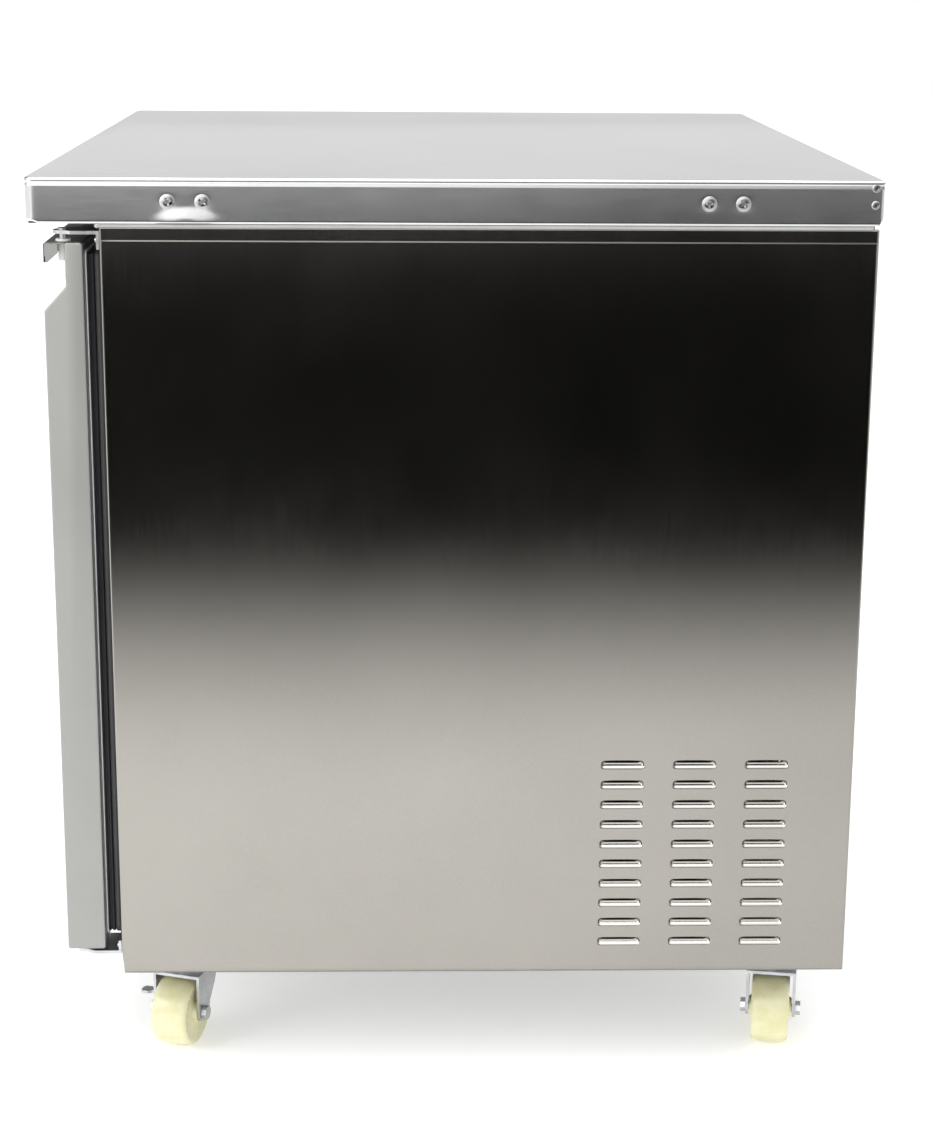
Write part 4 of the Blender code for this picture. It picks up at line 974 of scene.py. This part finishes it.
def make_gasket(word, side):
    """The seal: a light retainer, black bellows and a dark grey magnet bead."""
    low, high = span(side, GASKET_LOW[0], GASKET_HIGH[0])
    z0, z1 = GASKET_LOW[2], GASKET_HIGH[2]
    front, rear = DOOR_REAR + 0.3 * MM, FLANGE_Y - 0.3 * MM
    stretch = (rear - front) / GASKET_DEPTH
    for part, (finish, out, section) in GASKET_PARTS.items():
        out *= MM
        section = [(inset * MM, front + y * MM * stretch) for inset, y in section]
        shape = frame_loop(low + out, high - out, z0 + out, z1 - out, 5 * MM, section)
        replaced = (f"{word}_door_gasket",) if part == "bead" else ()
        make(f"{word}_gasket_{part}", shape, finish, f"{word}_door", 60, replaced)


def make_hinge_details():
    """The screws on each hinge bracket's flange."""
    screw = cross_screw(3.1 * MM, 2.4 * MM)
    y = BRACKET_HIGH[1] - 2.7 * MM
    for word, side in SIDES.items():
        for level in ("upper", "lower"):
            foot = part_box(f"{word}_{level}_bracket")[0][2]
            z = TOP - 56.1 * MM if level == "upper" else foot + 8.6 * MM
            for k, x in enumerate((BRACKET_HIGH[0] - 5 * MM, BRACKET_LOW[0] + 6 * MM)):
                screw.put(f"{word}_{level}_bracket_screw_{k + 1}", (side * x, y, z), (0, -1, 0), 0.4 + k)
    screw.done()


# ---- casters

def make_wheel(word):
    """A one-piece nylon wheel: a crowned tread, a dished side and a hub."""
    low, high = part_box(f"{word}_wheel")
    centre, radius = (low + high) / 2, (high[2] - low[2]) / 2
    # one half's section, bore to tread: (share of the radius, millimetres from the middle)
    half = [(0.127, 21.2), (0.265, 21.2), (0.286, 20.5), (0.326, 17.0), (0.369, 16.4), (0.692, 16.4),
            (0.745, 17.2), (0.815, 18.4), (0.871, 18.6), (0.920, 17.8), (0.954, 16.3), (0.978, 13.4),
            (0.991, 9.0), (0.998, 4.0)]
    half = [(share * radius, along * MM) for share, along in half]
    profile = half + [(radius, 0.0)] + [(r, -along) for r, along in reversed(half)]
    shape = moved(turned("y", (0, 0), profile, 64, closed=True), on_joint(f"{word}_wheel", centre))
    make(f"{word}_tread_wheel", shape, "wheel_nylon", f"{word}_wheel", 40, (f"{word}_wheel",))


def make_brake_lever(word):
    """A side brake: a flat plate, a neck bent outwards and a rounded thumb tab."""
    pivot = next(joint["pos_m"] for joint in frame["joints"] if joint["child"] == f"{word}_brake")
    inner, outer, end = -25.1 * MM, -27.3 * MM, -43 * MM        # the plate's faces, the tab's tip
    middle, neck, wide = 8 * MM, 3.2 * MM, 6.2 * MM             # the tab's x and half widths
    plate = filleted(in_mm([(-15, -3, 2), (-6, -9, 2), (5.5, -9, 2), (13, -5, 2), (13, 4.5, 2),
                            (-15, 4.5, 2)]), 3)
    tab = []
    for sign in (-1, 1):
        half = [(middle + sign * neck, outer + 0.5 * MM, 0), (middle + sign * neck, outer - 4 * MM, 2 * MM),
                (middle + sign * wide, outer - 7.5 * MM, 2 * MM), (middle + sign * wide, end, 4 * MM)]
        tab += half if sign < 0 else half[::-1]
    shape = merged([prism(plate, "y", outer, inner), prism(filleted(tab, 3), "z", -4 * MM, -1 * MM),
                    turned("y", (0, 0), [(3.5 * MM, inner), (3.5 * MM, outer - 0.6 * MM),
                                         (2.2 * MM, outer - 1.6 * MM)], 24)])
    shape = moved(shape, on_joint(f"{word}_brake", pivot))
    lever = make(f"{word}_thumb_brake", shape, "zinc_plate", f"{word}_brake", 40, (f"{word}_brake_lever",))
    bevel(lever, 0.4 * MM)


# ---- inside and behind

CROSS_WIRES_Y = (-0.10, 0.04, 0.18)


def make_shelf(word, side):
    """A wire shelf: a thick frame wire, cross wires under it and thin wires along it."""
    low, high = span(side, SHELF_LOW[0], SHELF_HIGH[0])
    y0, y1, z = SHELF_LOW[1], SHELF_HIGH[1], SHELF_LOW[2] + 1.9 * MM
    thick, thin, count = 2.4 * MM, 1.3 * MM, 13
    parts = []
    for y in (y0 + thick, *CROSS_WIRES_Y, y1 - thick):
        parts.append(tube([(low + thick, y, z), (high - thick, y, z)], thick))
    for x in (low + thick, high - thick):
        parts.append(tube([(x, y0 + thick, z), (x, y1 - thick, z)], thick))
    for k in range(count):
        x = low + (high - low) * (k + 1) / (count + 1)
        parts.append(tube([(x, y0 + 1 * MM, z - 1.6 * MM), (x, y0 + 1 * MM, z + 2.6 * MM),
                           (x, y1 - 1 * MM, z + 2.6 * MM), (x, y1 - 1 * MM, z - 1.6 * MM)], thin, 8))
    make(f"{word}_wire_shelf", merged(parts), "wire_coating", "cabinet", 50, (f"{word}_shelf",))


def make_fan_guards():
    """Round wires and spokes over the openings of both fans."""
    shroud_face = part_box("condenser_shroud")[1][0]
    guards = {      # axis, the two axes across it, place along it, radii in millimetres, wire radius
        "condenser_fan": ("x", (1, 2), shroud_face + 1.5 * MM, (42, 54, 66, 78, 88), 1.3 * MM),
        "evaporator_fan": ("y", (0, 2), COVER_LOW[1] - 1.6 * MM, (14, 24, 34, 44, 54), 1.1 * MM),
    }
    for fan, (axis, across, along, radii, wire) in guards.items():
        low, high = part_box(fan)
        centre = [(low[i] + high[i]) / 2 for i in across]
        parts = [hoop(axis, centre, radius * MM, along, wire) for radius in radii]
        for k in range(4):
            angle = math.radians(45 + 90 * k)
            reach = [placed(axis, *around(centre, radius * MM, angle), along)
                     for radius in (radii[0], radii[-1])]
            parts.append(tube(reach, wire, 8))
        make(f"{fan}_guard", merged(parts), "zinc_plate", "cabinet", 60)


def make_unit_details():
    """The cooling unit's pipes and the condenser's fins."""
    low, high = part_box("compressor")
    x, y, foot = (low[0] + high[0]) / 2, (low[1] + high[1]) / 2, low[2]
    reach = (high[0] - low[0]) / 2
    coil_low, coil_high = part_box("condenser_coil")
    pipes = [[(x - reach * 0.7, y - 0.03, foot + 0.05), (x - reach - 0.02, y - 0.035, foot + 0.05),
              (x - reach - 0.03, y - 0.045, foot + 0.02), (x - reach - 0.05, y - 0.10, foot + 0.012),
              (-0.24, y - 0.112, foot + 0.012), (coil_high[0] - 0.02, y - 0.115, foot + 0.03)],
             [(x - 0.03, y - reach * 0.7, foot + 0.08), (x - 0.05, y - reach - 0.010, foot + 0.08),
              (x - 0.06, y - reach - 0.014, foot + 0.15)]]
    for k, points in enumerate(pipes):
        make(f"copper_pipe_{k + 1}", tube(rounded_path(points), 3.2 * MM, 12), "copper_pipe", "cabinet", 60)
    fins, count = [], 48
    for k in range(count):
        fin_y = coil_low[1] + 4 * MM + (coil_high[1] - coil_low[1] - 8 * MM) * k / (count - 1)
        fins.append(block((coil_low[0] - 1.5 * MM, fin_y, coil_low[2] + 6 * MM),
                          (coil_low[0] + 12 * MM, fin_y + 0.4 * MM, coil_high[2] - 6 * MM)))
    make("condenser_fins", merged(fins), "coil_aluminium", "cabinet")


def rounded_path(points, steps=5):
    """A path with its corners cut to short curves."""
    points = [Vector(p) for p in points]
    path = [points[0]]
    for before, corner, after in zip(points, points[1:], points[2:]):
        reach = min(0.012, (corner - before).length / 2, (after - corner).length / 2)
        start = corner + (before - corner).normalized() * reach
        end = corner + (after - corner).normalized() * reach
        for k in range(steps + 1):
            t = k / steps
            path.append(start.lerp(corner, t).lerp(corner.lerp(end, t), t))
    path.append(points[-1])
    return path


def make_rear_screws():
    """Pan heads round the back panel, the rear grille and the evaporator's cover."""
    screw = cross_screw(4.6 * MM, 2.0 * MM)
    count, margin, cover_margin, sunk = 4, 20 * MM, 12 * MM, 0.1 * MM
    number = 0
    for z in (BACK_HIGH[2] - 12 * MM, BACK_LOW[2] + 10 * MM, GRILLE_HIGH[2] - 10 * MM,
              GRILLE_LOW[2] + 12 * MM):
        for k in range(count):
            x = BACK_LOW[0] + margin + (BACK_HIGH[0] - BACK_LOW[0] - 2 * margin) * k / (count - 1)
            number += 1
            screw.put(f"rear_screw_{number}", (x, BACK_HIGH[1] - sunk, z), (0, 1, 0), 0.7 * number)
    for x in (COVER_LOW[0] + cover_margin, COVER_HIGH[0] - cover_margin):
        for z in (COVER_LOW[2] + cover_margin, COVER_HIGH[2] - cover_margin):
            number += 1
            screw.put(f"cover_screw_{number}", (x, COVER_LOW[1] + sunk, z), (0, -1, 0), 0.5 * number)
    screw.done()


SOFT_EDGES = {      # by a word in the node's name, in millimetres
    "fork": 0.8, "axle": 0.7, "caster_plate": 0.5, "bracket": 0.45, "bush": 0.4, "rail": 0.6,
    "gland": 0.5, "grille": 0.3, "cover": 0.8, "control_box": 1.5, "shroud": 1.5, "tray": 0.4,
    "back_panel": 0.3, "fan": 0.3, "base_pan": 0.4, "frame": 0.3, "knob": 0.5,
}


def finish_cad_nodes():
    """Materials for every CAD node, and soft edges for those that are still shown."""
    slots = {part["node"]: part["material_slot"] for part in frame["record"]["subparts"]}
    for name, node in frame["nodes"].items():
        node.data.materials.clear()
        # the worktop's core takes the dark board colour, painted shade for the gap under the lips
        finish = "sealed_board" if name == "worktop_core" else slots[name]
        node.data.materials.append(MATERIALS[finish])
        for word, width in SOFT_EDGES.items():
            if word in name and not node.hide_render:
                bevel(node, width * MM)
                break


make_worktop()
make_lip_fasteners()
make_edge_beads()
for word, side in SIDES.items():
    make_side_panel(word, side)
    make_door_shell(word, side)
    make_gasket(word, side)
    make_shelf(word, side)
make_hinge_details()
for word, braked in CASTERS.items():
    make_wheel(word)
    if braked:
        make_brake_lever(word)
make_fan_guards()
make_unit_details()
make_rear_screws()
finish_cad_nodes()
